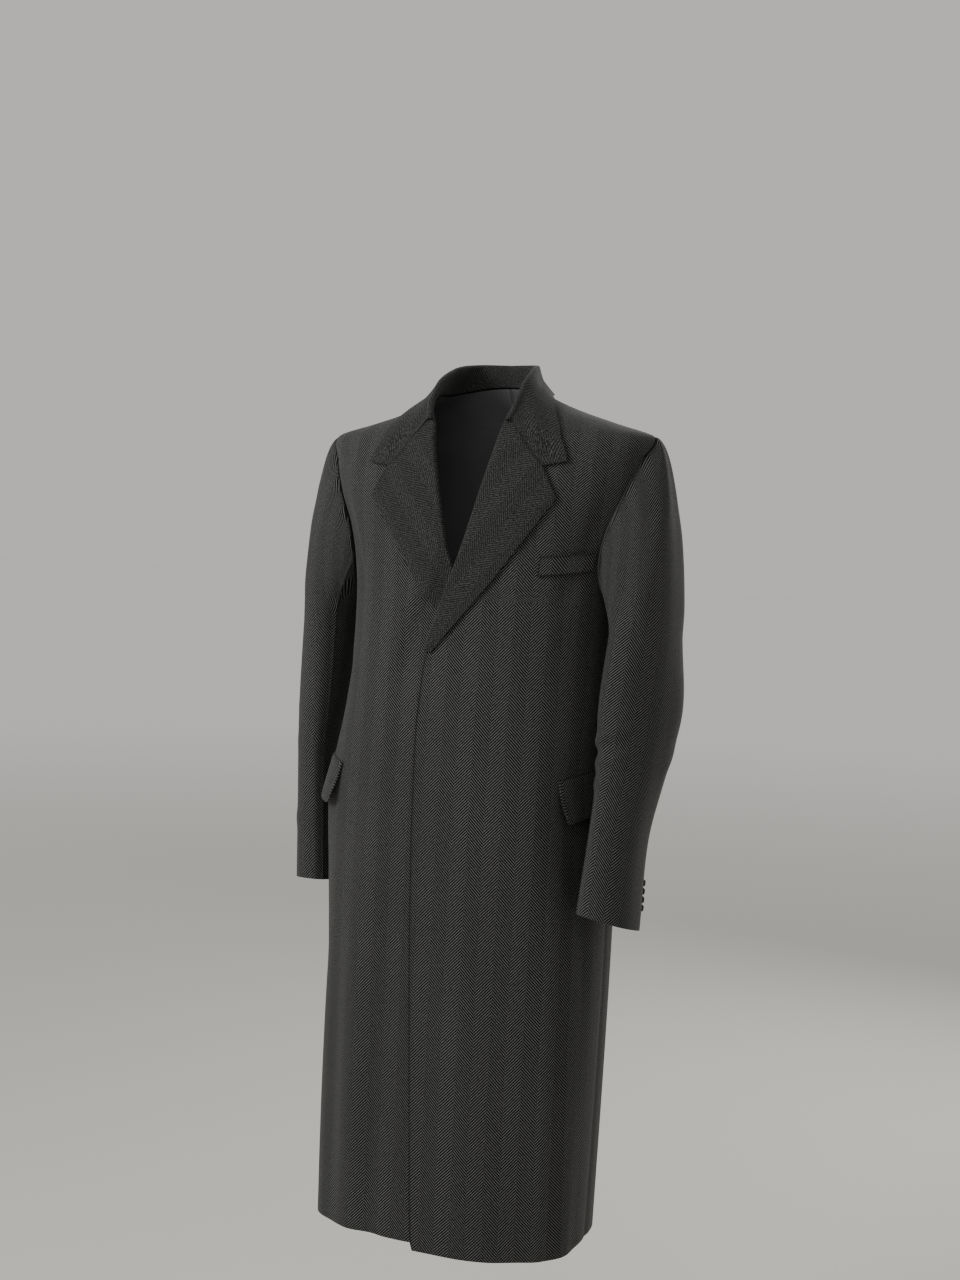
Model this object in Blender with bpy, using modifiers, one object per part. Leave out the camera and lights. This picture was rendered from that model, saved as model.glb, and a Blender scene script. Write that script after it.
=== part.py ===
"""Long single-breasted overcoat in its worn shape, made of the pieces that are cut and sewn.

Metres, +Z up. The coat faces -Y and the wearer's left is +X. The origin is the middle of the neck,
level with the shoulder seams there, where the wearer's shoulders hold the coat.
"""

import math
from collections import namedtuple

import bmesh
import bpy
from mathutils import Matrix, Vector

# Cloth
CLOTH = 0.0024          # wall of coating cloth with its canvas
SEAM = 0.0004           # half the gap between pieces sewn edge to edge
SHOULDER_SEAM = 0.0009  # the same on the shoulder, where the wall turns more
LIP = 0.0015            # gap between a rolled piece and the edge it leaves
LAYER = 0.0008          # gap between layers that lie on each other

# Levels of the body
HEM = -1.106
LEFT_HEM_DROP = 0.011   # the left front hangs a little lower
LEFT_HEM_LOWEST = 30.0  # angle round the body where it hangs lowest
LEFT_HEM_TURN = 1.2     # above 1, it comes back to the hem sooner on either side
BREAK = -0.335          # where the lapels start to roll
UNDERARM = -0.262
SHOULDER = -0.043       # tip of the shoulder seam
GORGE = -0.034          # where the collar joins the lapel at the roll
NECK = 0.010            # neck end of the shoulder seam
NECK_RISE = 0.012       # the back neck stands higher than the shoulder seam
RIGHT_DROP = 0.008      # the right shoulder hangs a little lower

# Openings and folds, in degrees round the body: 0 is the front, 90 the left side, 180 the back
ARMHOLE_SCOOP = 26.0    # deepest cut of the armhole from the side line
ARMHOLE_SKEW = 0.65     # below 1, the deepest cut lies low
ARMHOLE_ROUND = 0.6     # below 1, its top and bottom are rounder
HIND_SEAM = -52.0       # round the sleeve: 0 is outward, 90 forward
FORE_SEAM = 128.0

# Front overlap
UNDER_EDGE = 0.0038     # the right front sinks this far below the left one
UNDER_LAPEL = 0.0076    # and this far where its lapel lies between them
SINK_START = 0.036      # distance from the left front's edge where this begins
SINK_FULL = 0.009       # and where it is full
SINK_LEAD = 0.016       # the right front sinks this much sooner than its lapel

# Lapel and collar
LAPEL_ROLL = 0.0068     # height of the rolled edge above the front
LAPEL_EDGE = 0.0042     # height of the outer edge
LAPEL_COVERED = 0.0041  # height where the left front covers the right lapel
LAPEL_NOTCH = 5.0 / 7.0  # where the notch lies along the lapel's top edge
COLLAR_EDGE = 0.0050    # height of the collar's outer edge
COLLAR_FOLD = 0.0042    # radius of its fold, over two walls

# Pockets and cuff buttons
FLAP_ANGLES = (50.5, 93.0)
FLAP_TOP = -0.490       # at its front end
FLAP_TILT = 0.015       # its back end sits this much higher
FLAP_LEAN = 4.0         # its lower edge lies this much further back, in degrees
FLAP_DEPTH = 0.058
FLAP_CORNER = 0.012
WELT_FRONT_X = 0.112
WELT_BACK_ANGLE = 61.5
WELT_TOP = -0.203
WELT_HEIGHT = 0.025
WELT_RISE = 0.008
BUTTON_RADIUS = 0.0046
BUTTON_HEIGHT = 0.0032
BUTTON_PITCH = 0.0100
BUTTON_COUNT = 4
BUTTON_FIRST = 0.026    # lowest button above the cuff edge

Ring = namedtuple("Ring", "level half_width front back side square")
RINGS = (
    Ring(0.010, 0.0730, 0.061, 0.071, 0.012, 2.00),
    Ring(0.000, 0.0945, 0.066, 0.078, 0.012, 2.00),
    Ring(-0.012, 0.1270, 0.071, 0.087, 0.012, 1.95),
    Ring(-0.026, 0.1730, 0.077, 0.097, 0.012, 1.90),
    Ring(-0.043, 0.2263, 0.084, 0.108, 0.012, 1.90),
    Ring(-0.075, 0.2215, 0.094, 0.122, 0.014, 2.35),
    Ring(-0.120, 0.2130, 0.105, 0.133, 0.016, 2.45),
    Ring(-0.170, 0.1985, 0.113, 0.138, 0.018, 2.40),
    Ring(-0.220, 0.1870, 0.119, 0.139, 0.018, 2.35),
    Ring(-0.262, 0.1815, 0.123, 0.137, 0.018, 2.40),
    Ring(-0.350, 0.1820, 0.129, 0.129, 0.014, 2.40),
    Ring(-0.450, 0.1870, 0.139, 0.122, 0.008, 2.40),
    Ring(-0.560, 0.1920, 0.148, 0.124, 0.000, 2.40),
    Ring(-0.700, 0.1930, 0.154, 0.130, -0.009, 2.50),
    Ring(-0.900, 0.1905, 0.160, 0.135, -0.019, 2.60),
    Ring(HEM, 0.1865, 0.164, 0.138, -0.030, 2.60),
)

# The hips stand a little to the right: how far both sides of the front move
SWAY_ANGLE = 68.0
SWAY_HALF_ANGLE = 36.0
Sway = namedtuple("Sway", "level x")
SWAY = (
    Sway(NECK, 0.0000),
    Sway(-0.360, 0.0000),
    Sway(-0.430, -0.0040),
    Sway(-0.485, -0.0110),
    Sway(-0.538, -0.0145),
    Sway(-0.633, -0.0075),
    Sway(-0.700, -0.0030),
    Sway(-0.780, 0.0000),
    Sway(HEM, 0.0000),
)

# Edge of the left front from the hem to the neck: overlap, roll line, then neckline
FrontLine = namedtuple("FrontLine", "level x")
FRONT_LINE = (
    FrontLine(0.010, 0.0725),
    FrontLine(0.000, 0.0690),
    FrontLine(-0.012, 0.0640),
    FrontLine(GORGE, 0.0530),
    FrontLine(-0.067, 0.0460),
    FrontLine(-0.125, 0.0325),
    FrontLine(-0.180, 0.0188),
    FrontLine(-0.213, 0.0092),
    FrontLine(-0.268, -0.0085),
    FrontLine(BREAK, -0.0310),
    FrontLine(-0.380, -0.0370),
    FrontLine(-0.450, -0.0385),
    FrontLine(-0.700, -0.0310),
    FrontLine(-0.900, -0.0215),
    FrontLine(-1.092, -0.0120),
    FrontLine(HEM, -0.0080),
)

# Outer edge of the lapel from the break to its tip
LapelLine = namedtuple("LapelLine", "level x")
LAPEL_LINE = (
    LapelLine(-0.127, 0.1283),
    LapelLine(-0.185, 0.0890),
    LapelLine(-0.229, 0.0590),
    LapelLine(-0.264, 0.0320),
    LapelLine(-0.300, 0.0030),
    LapelLine(-0.332, -0.0230),
)

# Soft flutes of the skirt: where, how wide, how deep, where each starts and is full
Flute = namedtuple("Flute", "angle half_angle depth start full")
FLUTES = (
    Flute(-17.0, 13.0, -0.0060, -0.66, -1.10),
    Flute(-58.0, 18.0, 0.0040, -0.60, -1.05),
    Flute(38.0, 16.0, -0.0045, -0.62, -1.08),
    Flute(66.0, 14.0, 0.0050, -0.70, -1.12),
    Flute(112.0, 17.0, -0.0060, -0.55, -1.10),
    Flute(146.0, 16.0, 0.0060, -0.50, -1.12),
    Flute(-128.0, 18.0, -0.0055, -0.55, -1.10),
    Flute(-158.0, 14.0, 0.0060, -0.58, -1.12),
)

# Sleeve rings from the upper arm to the cuff: centre, reach on each side, then for each metre
# forward how far the ring rises and turns inward, and for each metre outward how far it falls
Arm = namedtuple("Arm", "level x y out inward front back slope turn tilt")
ARM_SQUARE = 2.3
LEFT_ARM = (
    Arm(-0.300, 0.2210, 0.004, 0.0500, 0.0345, 0.084, 0.072, 0.00, 0.00, 0.00),
    Arm(-0.400, 0.2200, 0.000, 0.0515, 0.0300, 0.080, 0.068, 0.04, 0.19, 0.00),
    Arm(-0.480, 0.2155, -0.016, 0.0445, 0.0260, 0.072, 0.064, 0.12, 0.11, 0.03),
    Arm(-0.560, 0.2110, -0.046, 0.0395, 0.0245, 0.062, 0.058, 0.20, 0.05, 0.10),
    Arm(-0.668, 0.2140, -0.084, 0.0390, 0.0300, 0.055, 0.052, 0.24, 0.12, 0.20),
)
RIGHT_ARM = (
    Arm(-0.300, 0.2210, 0.012, 0.0385, 0.0345, 0.074, 0.068, 0.00, 0.00, 0.00),
    Arm(-0.400, 0.2225, 0.010, 0.0425, 0.0270, 0.068, 0.064, 0.02, 0.00, 0.00),
    Arm(-0.480, 0.2255, 0.006, 0.0400, 0.0190, 0.060, 0.060, 0.08, 0.00, 0.00),
    Arm(-0.560, 0.2250, 0.001, 0.0380, 0.0180, 0.054, 0.055, 0.10, 0.00, 0.00),
    Arm(-0.669, 0.2210, -0.006, 0.0385, 0.0200, 0.049, 0.050, 0.12, 0.00, 0.00),
)

# Half of the collar from its front end to the centre back: its fold, and its edge on the body
CollarRow = namedtuple("CollarRow", "place fold_x fold_y fold_z edge_angle edge_level bulge")
COLLAR = (
    CollarRow(0.00, 0.0500, -0.0855, -0.0270, 34.5, -0.0800, 0.0000),
    CollarRow(0.22, 0.0550, -0.0690, -0.0045, 33.5, -0.0500, 0.0000),
    CollarRow(0.45, 0.0550, -0.0350, 0.0255, 48.0, -0.0165, -0.0025),
    CollarRow(0.54, 0.0535, -0.0140, 0.0355, 66.0, -0.0050, -0.0030),
    CollarRow(0.64, 0.0490, 0.0110, 0.0440, 90.0, 0.0060, -0.0015),
    CollarRow(0.82, 0.0370, 0.0520, 0.0510, 134.0, 0.0035, 0.0005),
    CollarRow(1.00, 0.0000, 0.0660, 0.0530, 180.0, -0.0060, 0.0010),
)
COLLAR_SHOULDER = 0.62  # the collar's place at the shoulder seam
COLLAR_FRONT = -0.0300  # level of its front end on the neckline
NOTCH_ANGLE = 25.0
NOTCH_LEVEL = -0.0870


def clear_scene():
    for item in list(bpy.data.objects):
        bpy.data.objects.remove(item, do_unlink=True)


def make_material(name, colour, roughness):
    material = bpy.data.materials.new(name)
    material.use_nodes = True
    shader = material.node_tree.nodes["Principled BSDF"]
    shader.inputs["Base Color"].default_value = (*colour, 1.0)
    shader.inputs["Roughness"].default_value = roughness
    shader.inputs["Metallic"].default_value = 0.0
    return material


def smooth_step(low, high, value):
    part = min(max((value - low) / (high - low), 0.0), 1.0)
    return part * part * (3.0 - 2.0 * part)


def row_at(table, place):
    """The columns of a table between its rows, on smooth curves through them."""
    rows = sorted(table)
    place = min(max(place, rows[0][0]), rows[-1][0])
    index = 0
    while index < len(rows) - 2 and place > rows[index + 1][0]:
        index += 1
    span = rows[index + 1][0] - rows[index][0]
    part = (place - rows[index][0]) / span
    before = rows[max(index - 1, 0)]
    after = rows[min(index + 2, len(rows) - 1)]
    columns = []
    for low, start, end, high in zip(before, rows[index], rows[index + 1], after):
        leave = (end - low) / (rows[index + 1][0] - before[0]) * span
        arrive = (high - start) / (after[0] - rows[index][0]) * span
        columns.append(hermite(start, leave, end, arrive, part))
    return type(rows[0])(*columns)


def hermite(start, leave, end, arrive, part):
    squared = part * part
    cubed = squared * part
    return (start * (2.0 * cubed - 3.0 * squared + 1.0) + leave * (cubed - 2.0 * squared + part)
            + end * (3.0 * squared - 2.0 * cubed) + arrive * (cubed - squared))


def flute_depth(angle, level):
    depth = 0.0
    for flute in FLUTES:
        off = abs((angle - flute.angle + 180.0) % 360.0 - 180.0)
        if off < flute.half_angle:
            shape = math.cos(0.5 * math.pi * off / flute.half_angle) ** 2
            depth += flute.depth * shape * smooth_step(-flute.start, -flute.full, -level)
    return depth


def body_surface(angle, level):
    """A point of the coat's outer surface, round its rings."""
    ring = row_at(RINGS, level)
    sine = math.sin(math.radians(angle))
    cosine = math.cos(math.radians(angle))
    power = 2.0 / ring.square
    depth = ring.side + ring.front if cosine > 0.0 else ring.back - ring.side
    flute = flute_depth(angle, level)
    x = math.copysign(abs(sine) ** power, sine) * ring.half_width + flute * sine
    off = min(abs(abs(angle) - SWAY_ANGLE) / SWAY_HALF_ANGLE, 1.0)
    x += row_at(SWAY, level).x * math.cos(0.5 * math.pi * off) ** 2
    y = ring.side - math.copysign(abs(cosine) ** power, cosine) * depth - flute * cosine
    rise = NECK_RISE * smooth_step(-0.100, NECK, level) * max(-cosine, 0.0) ** 2
    return Vector((x, y, level + rise))


def body_normal(angle, level):
    turn = 1.0
    climb = 0.004
    across = body_surface(angle + turn, level) - body_surface(angle - turn, level)
    top = min(level + climb, NECK)
    along = body_surface(angle, top) - body_surface(angle, top - 2.0 * climb)
    return across.cross(along).normalized()


def on_body(angle, level, out=0.0):
    return body_surface(angle, level) + body_normal(angle, level) * out


def ring_turn(distance, reach, square):
    """The turn, in degrees, that takes a ring's point this far from one of its axes."""
    sine = min(abs(distance) / reach, 1.0) ** (0.5 * square)
    return math.copysign(math.degrees(math.asin(sine)), distance)


def angle_of(x, level):
    """The angle round the front at which a ring reaches across to x."""
    ring = row_at(RINGS, level)
    return ring_turn(x, ring.half_width, ring.square)


def side_gap(level):
    """Half the gap of the side and shoulder seams, in degrees."""
    ring = row_at(RINGS, level)
    gap = SEAM + (SHOULDER_SEAM - SEAM) * smooth_step(SHOULDER - 0.02, SHOULDER - 0.01, level)
    return ring_turn(gap, ring.front + ring.side, ring.square)


def armhole_angle(level):
    """How far the armhole cuts into a panel from the side line, in degrees."""
    part = (level - UNDERARM) / (SHOULDER - UNDERARM)
    if part <= 0.0 or part >= 1.0:
        return 0.0
    return ARMHOLE_SCOOP * math.sin(math.pi * part ** ARMHOLE_SKEW) ** ARMHOLE_ROUND


def right_sink(x, level):
    """How far the right front and its lapel pass under the edge of the left front."""
    edge = row_at(FRONT_LINE, level).x
    depth = UNDER_EDGE + (UNDER_LAPEL - UNDER_EDGE) * smooth_step(BREAK - 0.05, BREAK - 0.01, level)
    above_crossing = smooth_step(-0.17, -0.21, level) if level > -0.21 else 1.0
    return depth * above_crossing * smooth_step(edge - SINK_START, edge - SINK_FULL, x)


def panel_levels():
    """Heights of a panel's rows: even in the skirt, closer at the armhole's bottom and top."""
    skirt = [HEM + (UNDERARM - HEM) * step / 12 for step in range(12)]
    eased = [0.5 - 0.5 * math.cos(math.pi * (step / 11) ** 1.15) for step in range(11)]
    chest = [UNDERARM + (SHOULDER - UNDERARM) * part for part in eased]
    shoulder = [SHOULDER + (NECK - SHOULDER) * step / 5 for step in range(6)]
    return skirt + chest + shoulder


def settle(point):
    """A point of the even coat as it hangs, with the right shoulder lower."""
    drop = RIGHT_DROP * smooth_step(0.03, 0.14, -point.x) * smooth_step(-0.22, -0.05, point.z)
    return Vector((point.x, point.y, point.z - drop))


def sheet(name, columns, rows, place, wall, material):
    """A curved sheet of cloth: a grid set on a surface, given its wall on the inner side."""
    mesh = bpy.data.meshes.new(name)
    grid = bmesh.new()
    bmesh.ops.create_grid(grid, x_segments=columns, y_segments=rows, size=0.5)
    for vert in grid.verts:
        vert.co = settle(place(vert.co.x + 0.5, vert.co.y + 0.5))
    grid.to_mesh(mesh)
    grid.free()
    mesh.shade_smooth()
    mesh.materials.append(material)
    piece = bpy.data.objects.new(name, mesh)
    solidify = piece.modifiers.new("wall", "SOLIDIFY")
    solidify.thickness = wall
    solidify.offset = -1.0
    solidify.use_even_offset = True
    solidify.use_quality_normals = True
    return piece


def front_panel(side, material):
    """One front, from its edge round to the side seam; side is 1 for the left and -1 for the right."""
    levels = panel_levels()

    def place(across, up):
        level = levels[round(up * (len(levels) - 1))]
        edge = angle_of(row_at(FRONT_LINE, level).x, level)
        seam = 90.0 - armhole_angle(level) - side_gap(level)
        across = across if side > 0 else 1.0 - across
        angle = edge + (seam - edge) * across
        point = on_body(side * angle, level)
        if side > 0:
            turn = math.radians(LEFT_HEM_TURN * (angle - LEFT_HEM_LOWEST))
            hang = smooth_step(0.80, -HEM, -level) * max(math.cos(turn), 0.0)
            point.z -= LEFT_HEM_DROP * hang
            return point
        return point - body_normal(-angle, level) * right_sink(point.x + SINK_LEAD, level)

    name = "front_left" if side > 0 else "front_right"
    return sheet(name, 12, len(levels) - 1, place, CLOTH, material)


def back_panel(side, material):
    """One half of the back, from the side seam to the centre back seam."""
    levels = panel_levels()

    def place(across, up):
        level = levels[round(up * (len(levels) - 1))]
        start = 90.0 + armhole_angle(level) + side_gap(level)
        end = 180.0 - angle_of(SEAM, level)
        across = across if side > 0 else 1.0 - across
        return on_body(side * (start + (end - start) * across), level)

    name = "back_left" if side > 0 else "back_right"
    return sheet(name, 9, len(levels) - 1, place, CLOTH, material)


def gorge_rise(part):
    """How far the lapel's top edge bows up to the collar, from the roll to the notch and the tip."""
    near_roll = 0.0050 * smooth_step(0.0, 0.12, part)
    if part <= LAPEL_NOTCH:
        return near_roll + 0.0060 * (part / LAPEL_NOTCH) ** 3
    return 0.0110 * (1.0 - part) / (1.0 - LAPEL_NOTCH)


def lapel(side, material):
    """A lapel: it leaves the front's roll line from inside, turns over it and lies on the chest."""
    fold_columns = 4
    columns = 11
    rows = 18
    bottom = LAPEL_LINE[-1].level
    tip = LAPEL_LINE[0]
    roll_bottom = BREAK + 0.004
    roll_top = GORGE + 0.0010

    def chest(x, level):
        angle = side * angle_of(x, level)
        point = on_body(angle, level)
        normal = body_normal(angle, level)
        if side < 0:
            point = point - normal * right_sink(point.x, level)
        return point, normal

    def place(across, up):
        across = across if side > 0 else 1.0 - across
        outer_level = bottom + (tip.level - bottom) * up
        roll_level = roll_bottom + (roll_top - roll_bottom) * up
        roll_x = row_at(FRONT_LINE, roll_level).x
        outer_x = row_at(LAPEL_LINE, outer_level).x
        start, normal = chest(roll_x, roll_level)
        covered = 0.0 if side > 0 else smooth_step(-0.17, -0.21, roll_level)
        lift = LAPEL_ROLL + (LAPEL_COVERED - LAPEL_ROLL) * covered
        if side > 0:
            lift *= 0.72 + 0.28 * smooth_step(0.0, 0.18, up)
        step = across * columns
        if step <= fold_columns:
            turn = math.pi * step / fold_columns
            radius = 0.5 * (lift + CLOTH)
            inward = Vector((-side, 0.0, 0.0))
            inward = (inward - normal * inward.dot(normal)).normalized()
            height = lift - radius - radius * math.cos(turn)
            return start + normal * height + inward * (radius * math.sin(turn) + LIP)
        part = (step - fold_columns) / (columns - fold_columns)
        level = roll_level + (outer_level - roll_level) * part + gorge_rise(part) * up ** 6
        point, normal = chest(roll_x + (outer_x - roll_x) * part, level)
        return point + normal * (lift + (LAPEL_EDGE - LAPEL_ROLL) * lift / LAPEL_ROLL * part)

    name = "lapel_left" if side > 0 else "lapel_right"
    return sheet(name, columns, rows, place, CLOTH, material)


def neck_seam(place):
    """A point of the left half of the neckline, on which the collar stands."""
    if place < COLLAR_SHOULDER:
        level = COLLAR_FRONT + (NECK - COLLAR_FRONT) * place / COLLAR_SHOULDER
        angle = angle_of(row_at(FRONT_LINE, level).x, level)
    else:
        level = NECK
        shoulder = angle_of(row_at(FRONT_LINE, level).x, level)
        angle = shoulder + (180.0 - shoulder) * (place - COLLAR_SHOULDER) / (1.0 - COLLAR_SHOULDER)
    seam = on_body(angle, level, -CLOTH)
    seam.z = on_body(angle, level).z + 2.0 * SEAM
    return seam - Vector((seam.x, seam.y, 0.0)).normalized() * (LIP + 4.0 * SEAM)


def collar(material):
    """The collar: up from the neck seam as its stand, over the fold and down as its fall."""
    columns = 12
    stand_columns = 3
    fold_columns = 4
    middle_columns = 3
    notch = on_body(NOTCH_ANGLE, NOTCH_LEVEL, COLLAR_EDGE)

    def place(across, up):
        # up runs from the left front end round the back to the right one
        side = 1.0 if up <= 0.5 else -1.0
        row = row_at(COLLAR, 1.0 - abs(2.0 * up - 1.0))
        seam = neck_seam(row.place)
        fold = Vector((row.fold_x, row.fold_y, row.fold_z))
        edge = on_body(row.edge_angle, row.edge_level, COLLAR_EDGE)
        middle = fold.lerp(edge, 0.55) + body_normal(row.edge_angle, row.edge_level) * row.bulge
        middle = notch.lerp(middle, smooth_step(0.0, 0.16, row.place))
        rise = (fold - seam).normalized()
        over = Vector((middle.x - fold.x, middle.y - fold.y, 0.0)).normalized()
        over = (over - rise * over.dot(rise)).normalized()
        top = fold - rise * COLLAR_FOLD
        step = across * columns
        if step <= stand_columns:
            point = seam.lerp(top, step / stand_columns)
        elif step <= stand_columns + fold_columns:
            turn = math.pi * (step - stand_columns) / fold_columns
            swing = over * (1.0 - math.cos(turn)) + rise * math.sin(turn)
            point = top + swing * COLLAR_FOLD
        elif step <= stand_columns + fold_columns + middle_columns:
            part = (step - stand_columns - fold_columns) / middle_columns
            start = top + over * 2.0 * COLLAR_FOLD
            point = hermite(start, rise * -0.012, middle, (edge - fold) * 0.4, part)
        else:
            part = (step - stand_columns - fold_columns - middle_columns)
            point = middle.lerp(edge, part / (columns - stand_columns - fold_columns - middle_columns))
        return Vector((side * point.x, point.y, point.z))

    return sheet("collar", columns, 40, place, CLOTH, material)


def flap(side, front_flare, back_flare, material):
    """A pocket flap hanging from its seam, its lower edge standing off the front."""

    def place(across, up):
        across = across if side > 0 else 1.0 - across
        length = math.radians(FLAP_ANGLES[1] - FLAP_ANGLES[0]) * 0.175
        from_end = min(across, 1.0 - across) * length
        short = FLAP_CORNER - math.sqrt(max(FLAP_CORNER ** 2 - max(FLAP_CORNER - from_end, 0.0) ** 2, 0.0))
        level = FLAP_TOP + FLAP_TILT * across - (FLAP_DEPTH - short) * (1.0 - up)
        angle = FLAP_ANGLES[0] + (FLAP_ANGLES[1] - FLAP_ANGLES[0]) * across + FLAP_LEAN * (1.0 - up)
        flare = front_flare + (back_flare - front_flare) * across
        return on_body(side * angle, level, CLOTH + LAYER + flare * (1.0 - up) ** 1.5)

    name = "flap_left" if side > 0 else "flap_right"
    return sheet(name, 9, 5, place, CLOTH, material)


def breast_welt(material):
    """The welt of the breast pocket, on the left chest, rising a little towards the armhole."""

    def place(across, up):
        level = WELT_TOP - WELT_HEIGHT * (1.0 - up) + WELT_RISE * across
        start = angle_of(WELT_FRONT_X, WELT_TOP)
        return on_body(start + (WELT_BACK_ANGLE - start) * across, level, CLOTH + LAYER)

    return sheet("breast_welt", 6, 3, place, CLOTH, material)


def armhole_point(around):
    """A point of the left armhole; around is 0 at the shoulder, 90 in front, 180 under the arm."""
    part = 0.5 * (1.0 + math.cos(math.radians(around)))
    level = UNDERARM + (SHOULDER - UNDERARM) * part
    scoop = armhole_angle(level)
    return on_body(90.0 - scoop if math.sin(math.radians(around)) >= 0.0 else 90.0 + scoop, level)


def arm_ring(row, around):
    cosine = math.cos(math.radians(around))
    sine = math.sin(math.radians(around))
    power = 2.0 / ARM_SQUARE
    cosine = math.copysign(abs(cosine) ** power, cosine)
    sine = math.copysign(abs(sine) ** power, sine)
    outward = (row.out if cosine > 0.0 else row.inward) * cosine
    forward = (row.front if sine > 0.0 else row.back) * sine
    height = row.level + row.slope * forward - row.tilt * outward
    return Vector((row.x + outward - row.turn * forward, row.y - forward, height))


def sleeve_point(arm, around, down):
    """A point of the left sleeve: down runs from the armhole, past the upper arm, to the cuff."""
    cap_part = 0.40
    top = arm[0]
    if down >= cap_part:
        part = (down - cap_part) / (1.0 - cap_part)
        return arm_ring(row_at(arm, top.level + (arm[-1].level - top.level) * part), around)
    high = 0.5 * (1.0 + math.cos(math.radians(around)))
    sine = math.sin(math.radians(around))
    leave = Vector((0.008 + 0.062 * high ** 1.3, -0.030 * sine, -0.030 + 0.050 * high ** 2))
    start = armhole_point(around) + leave.normalized() * SEAM * 2.0
    start.x += LIP * (1.0 - high) ** 2
    end = arm_ring(top, around)
    arrive = Vector((0.0, 0.0, (end.z - start.z) * 1.15))
    return hermite(start, leave, end, arrive, down / cap_part)


def sleeve(side, layer, arm, material):
    """The top or under half of a two-piece sleeve, between its hind seam and its fore seam."""
    gap = 1.1
    start, end = (HIND_SEAM, FORE_SEAM) if layer == "top" else (FORE_SEAM, HIND_SEAM + 360.0)
    columns = 14 if layer == "top" and side < 0 else 12 if layer == "top" else 10

    def place(across, up):
        across = 1.0 - across if side > 0 else across
        around = start + gap + (end - start - 2.0 * gap) * across
        point = sleeve_point(arm, around, 1.0 - up)
        return Vector((side * point.x, point.y, point.z))

    name = "sleeve_" + ("left_" if side > 0 else "right_") + layer
    return sheet(name, columns, 18, place, CLOTH, material)


def cuff_button(side, index, arm, material):
    """A round button on the hind seam of a sleeve, above the cuff."""
    name = f"cuff_button_{'left' if side > 0 else 'right'}_{index + 1}"
    around = HIND_SEAM + 9.0
    length = (arm[0].level - arm[-1].level) / 0.60
    down = 1.0 - (BUTTON_FIRST + BUTTON_PITCH * index) / length
    step = 0.004
    seat = sleeve_point(arm, around, down)
    along = sleeve_point(arm, around, down + step) - sleeve_point(arm, around, down - step)
    across = sleeve_point(arm, around + 2.0, down) - sleeve_point(arm, around - 2.0, down)
    normal = along.cross(across).normalized()
    if normal.x < 0.0:
        normal.negate()
    centre = seat + normal * 0.5 * BUTTON_HEIGHT
    centre.x *= side
    normal.x *= side
    bpy.ops.mesh.primitive_cylinder_add(vertices=14, radius=BUTTON_RADIUS, depth=BUTTON_HEIGHT)
    piece = bpy.context.object
    piece.name = name
    piece.data.name = name
    piece.data.materials.append(material)
    piece.matrix_world = Matrix.Translation(centre) @ normal.to_track_quat("Z", "Y").to_matrix().to_4x4()
    bevel = piece.modifiers.new("rim", "BEVEL")
    bevel.width = 0.0007
    bevel.segments = 1
    for collection in piece.users_collection:
        collection.objects.unlink(piece)
    return piece


def main():
    clear_scene()
    coat = bpy.data.collections.new("overcoat")
    bpy.context.scene.collection.children.link(coat)
    wool = make_material("charcoal_wool", (0.034, 0.035, 0.034), 0.9)
    horn = make_material("dark_horn", (0.012, 0.011, 0.010), 0.35)
    pieces = []
    for side, arm, front_flare, back_flare in ((1, LEFT_ARM, 0.011, 0.0), (-1, RIGHT_ARM, 0.010, 0.002)):
        pieces.append(front_panel(side, wool))
        pieces.append(back_panel(side, wool))
        pieces.append(lapel(side, wool))
        pieces.append(flap(side, front_flare, back_flare, wool))
        for layer in ("top", "under"):
            pieces.append(sleeve(side, layer, arm, wool))
        for index in range(BUTTON_COUNT):
            pieces.append(cuff_button(side, index, arm, horn))
    pieces.append(collar(wool))
    pieces.append(breast_welt(wool))
    for piece in pieces:
        coat.objects.link(piece)


main()
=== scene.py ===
import math
from functools import lru_cache

import bmesh
import bpy
from mathutils import Matrix, Vector


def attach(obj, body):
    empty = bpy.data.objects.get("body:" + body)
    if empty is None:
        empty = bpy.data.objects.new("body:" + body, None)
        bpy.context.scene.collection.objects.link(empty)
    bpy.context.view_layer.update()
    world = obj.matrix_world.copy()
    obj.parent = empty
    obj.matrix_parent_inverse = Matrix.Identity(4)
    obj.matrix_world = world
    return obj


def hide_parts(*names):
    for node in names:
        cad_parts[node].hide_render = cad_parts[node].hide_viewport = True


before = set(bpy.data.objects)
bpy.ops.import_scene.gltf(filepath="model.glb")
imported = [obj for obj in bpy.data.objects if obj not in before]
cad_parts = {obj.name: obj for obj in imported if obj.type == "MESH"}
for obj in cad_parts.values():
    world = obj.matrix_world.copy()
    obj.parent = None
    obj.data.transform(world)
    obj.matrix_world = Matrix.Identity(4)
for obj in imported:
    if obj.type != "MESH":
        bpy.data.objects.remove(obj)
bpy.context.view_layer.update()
print("frame loaded:", len(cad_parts), "nodes")


# camera, worked out for an image of 960 x 1280
photoView = {
    "imageHeight": 1280.0,
    "focal": 1922.0,  # in pixels of that image
    "distance": 2.6,
    "yaw": 21.0,  # the coat is seen a little from its left
    "pitch": 4.17,  # looking down
    "roll": 2.0,
    "height": -0.1324,
    "slide": -0.0046,
    "sensor": 36.0,
    "farClip": 60.0,
}


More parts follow.
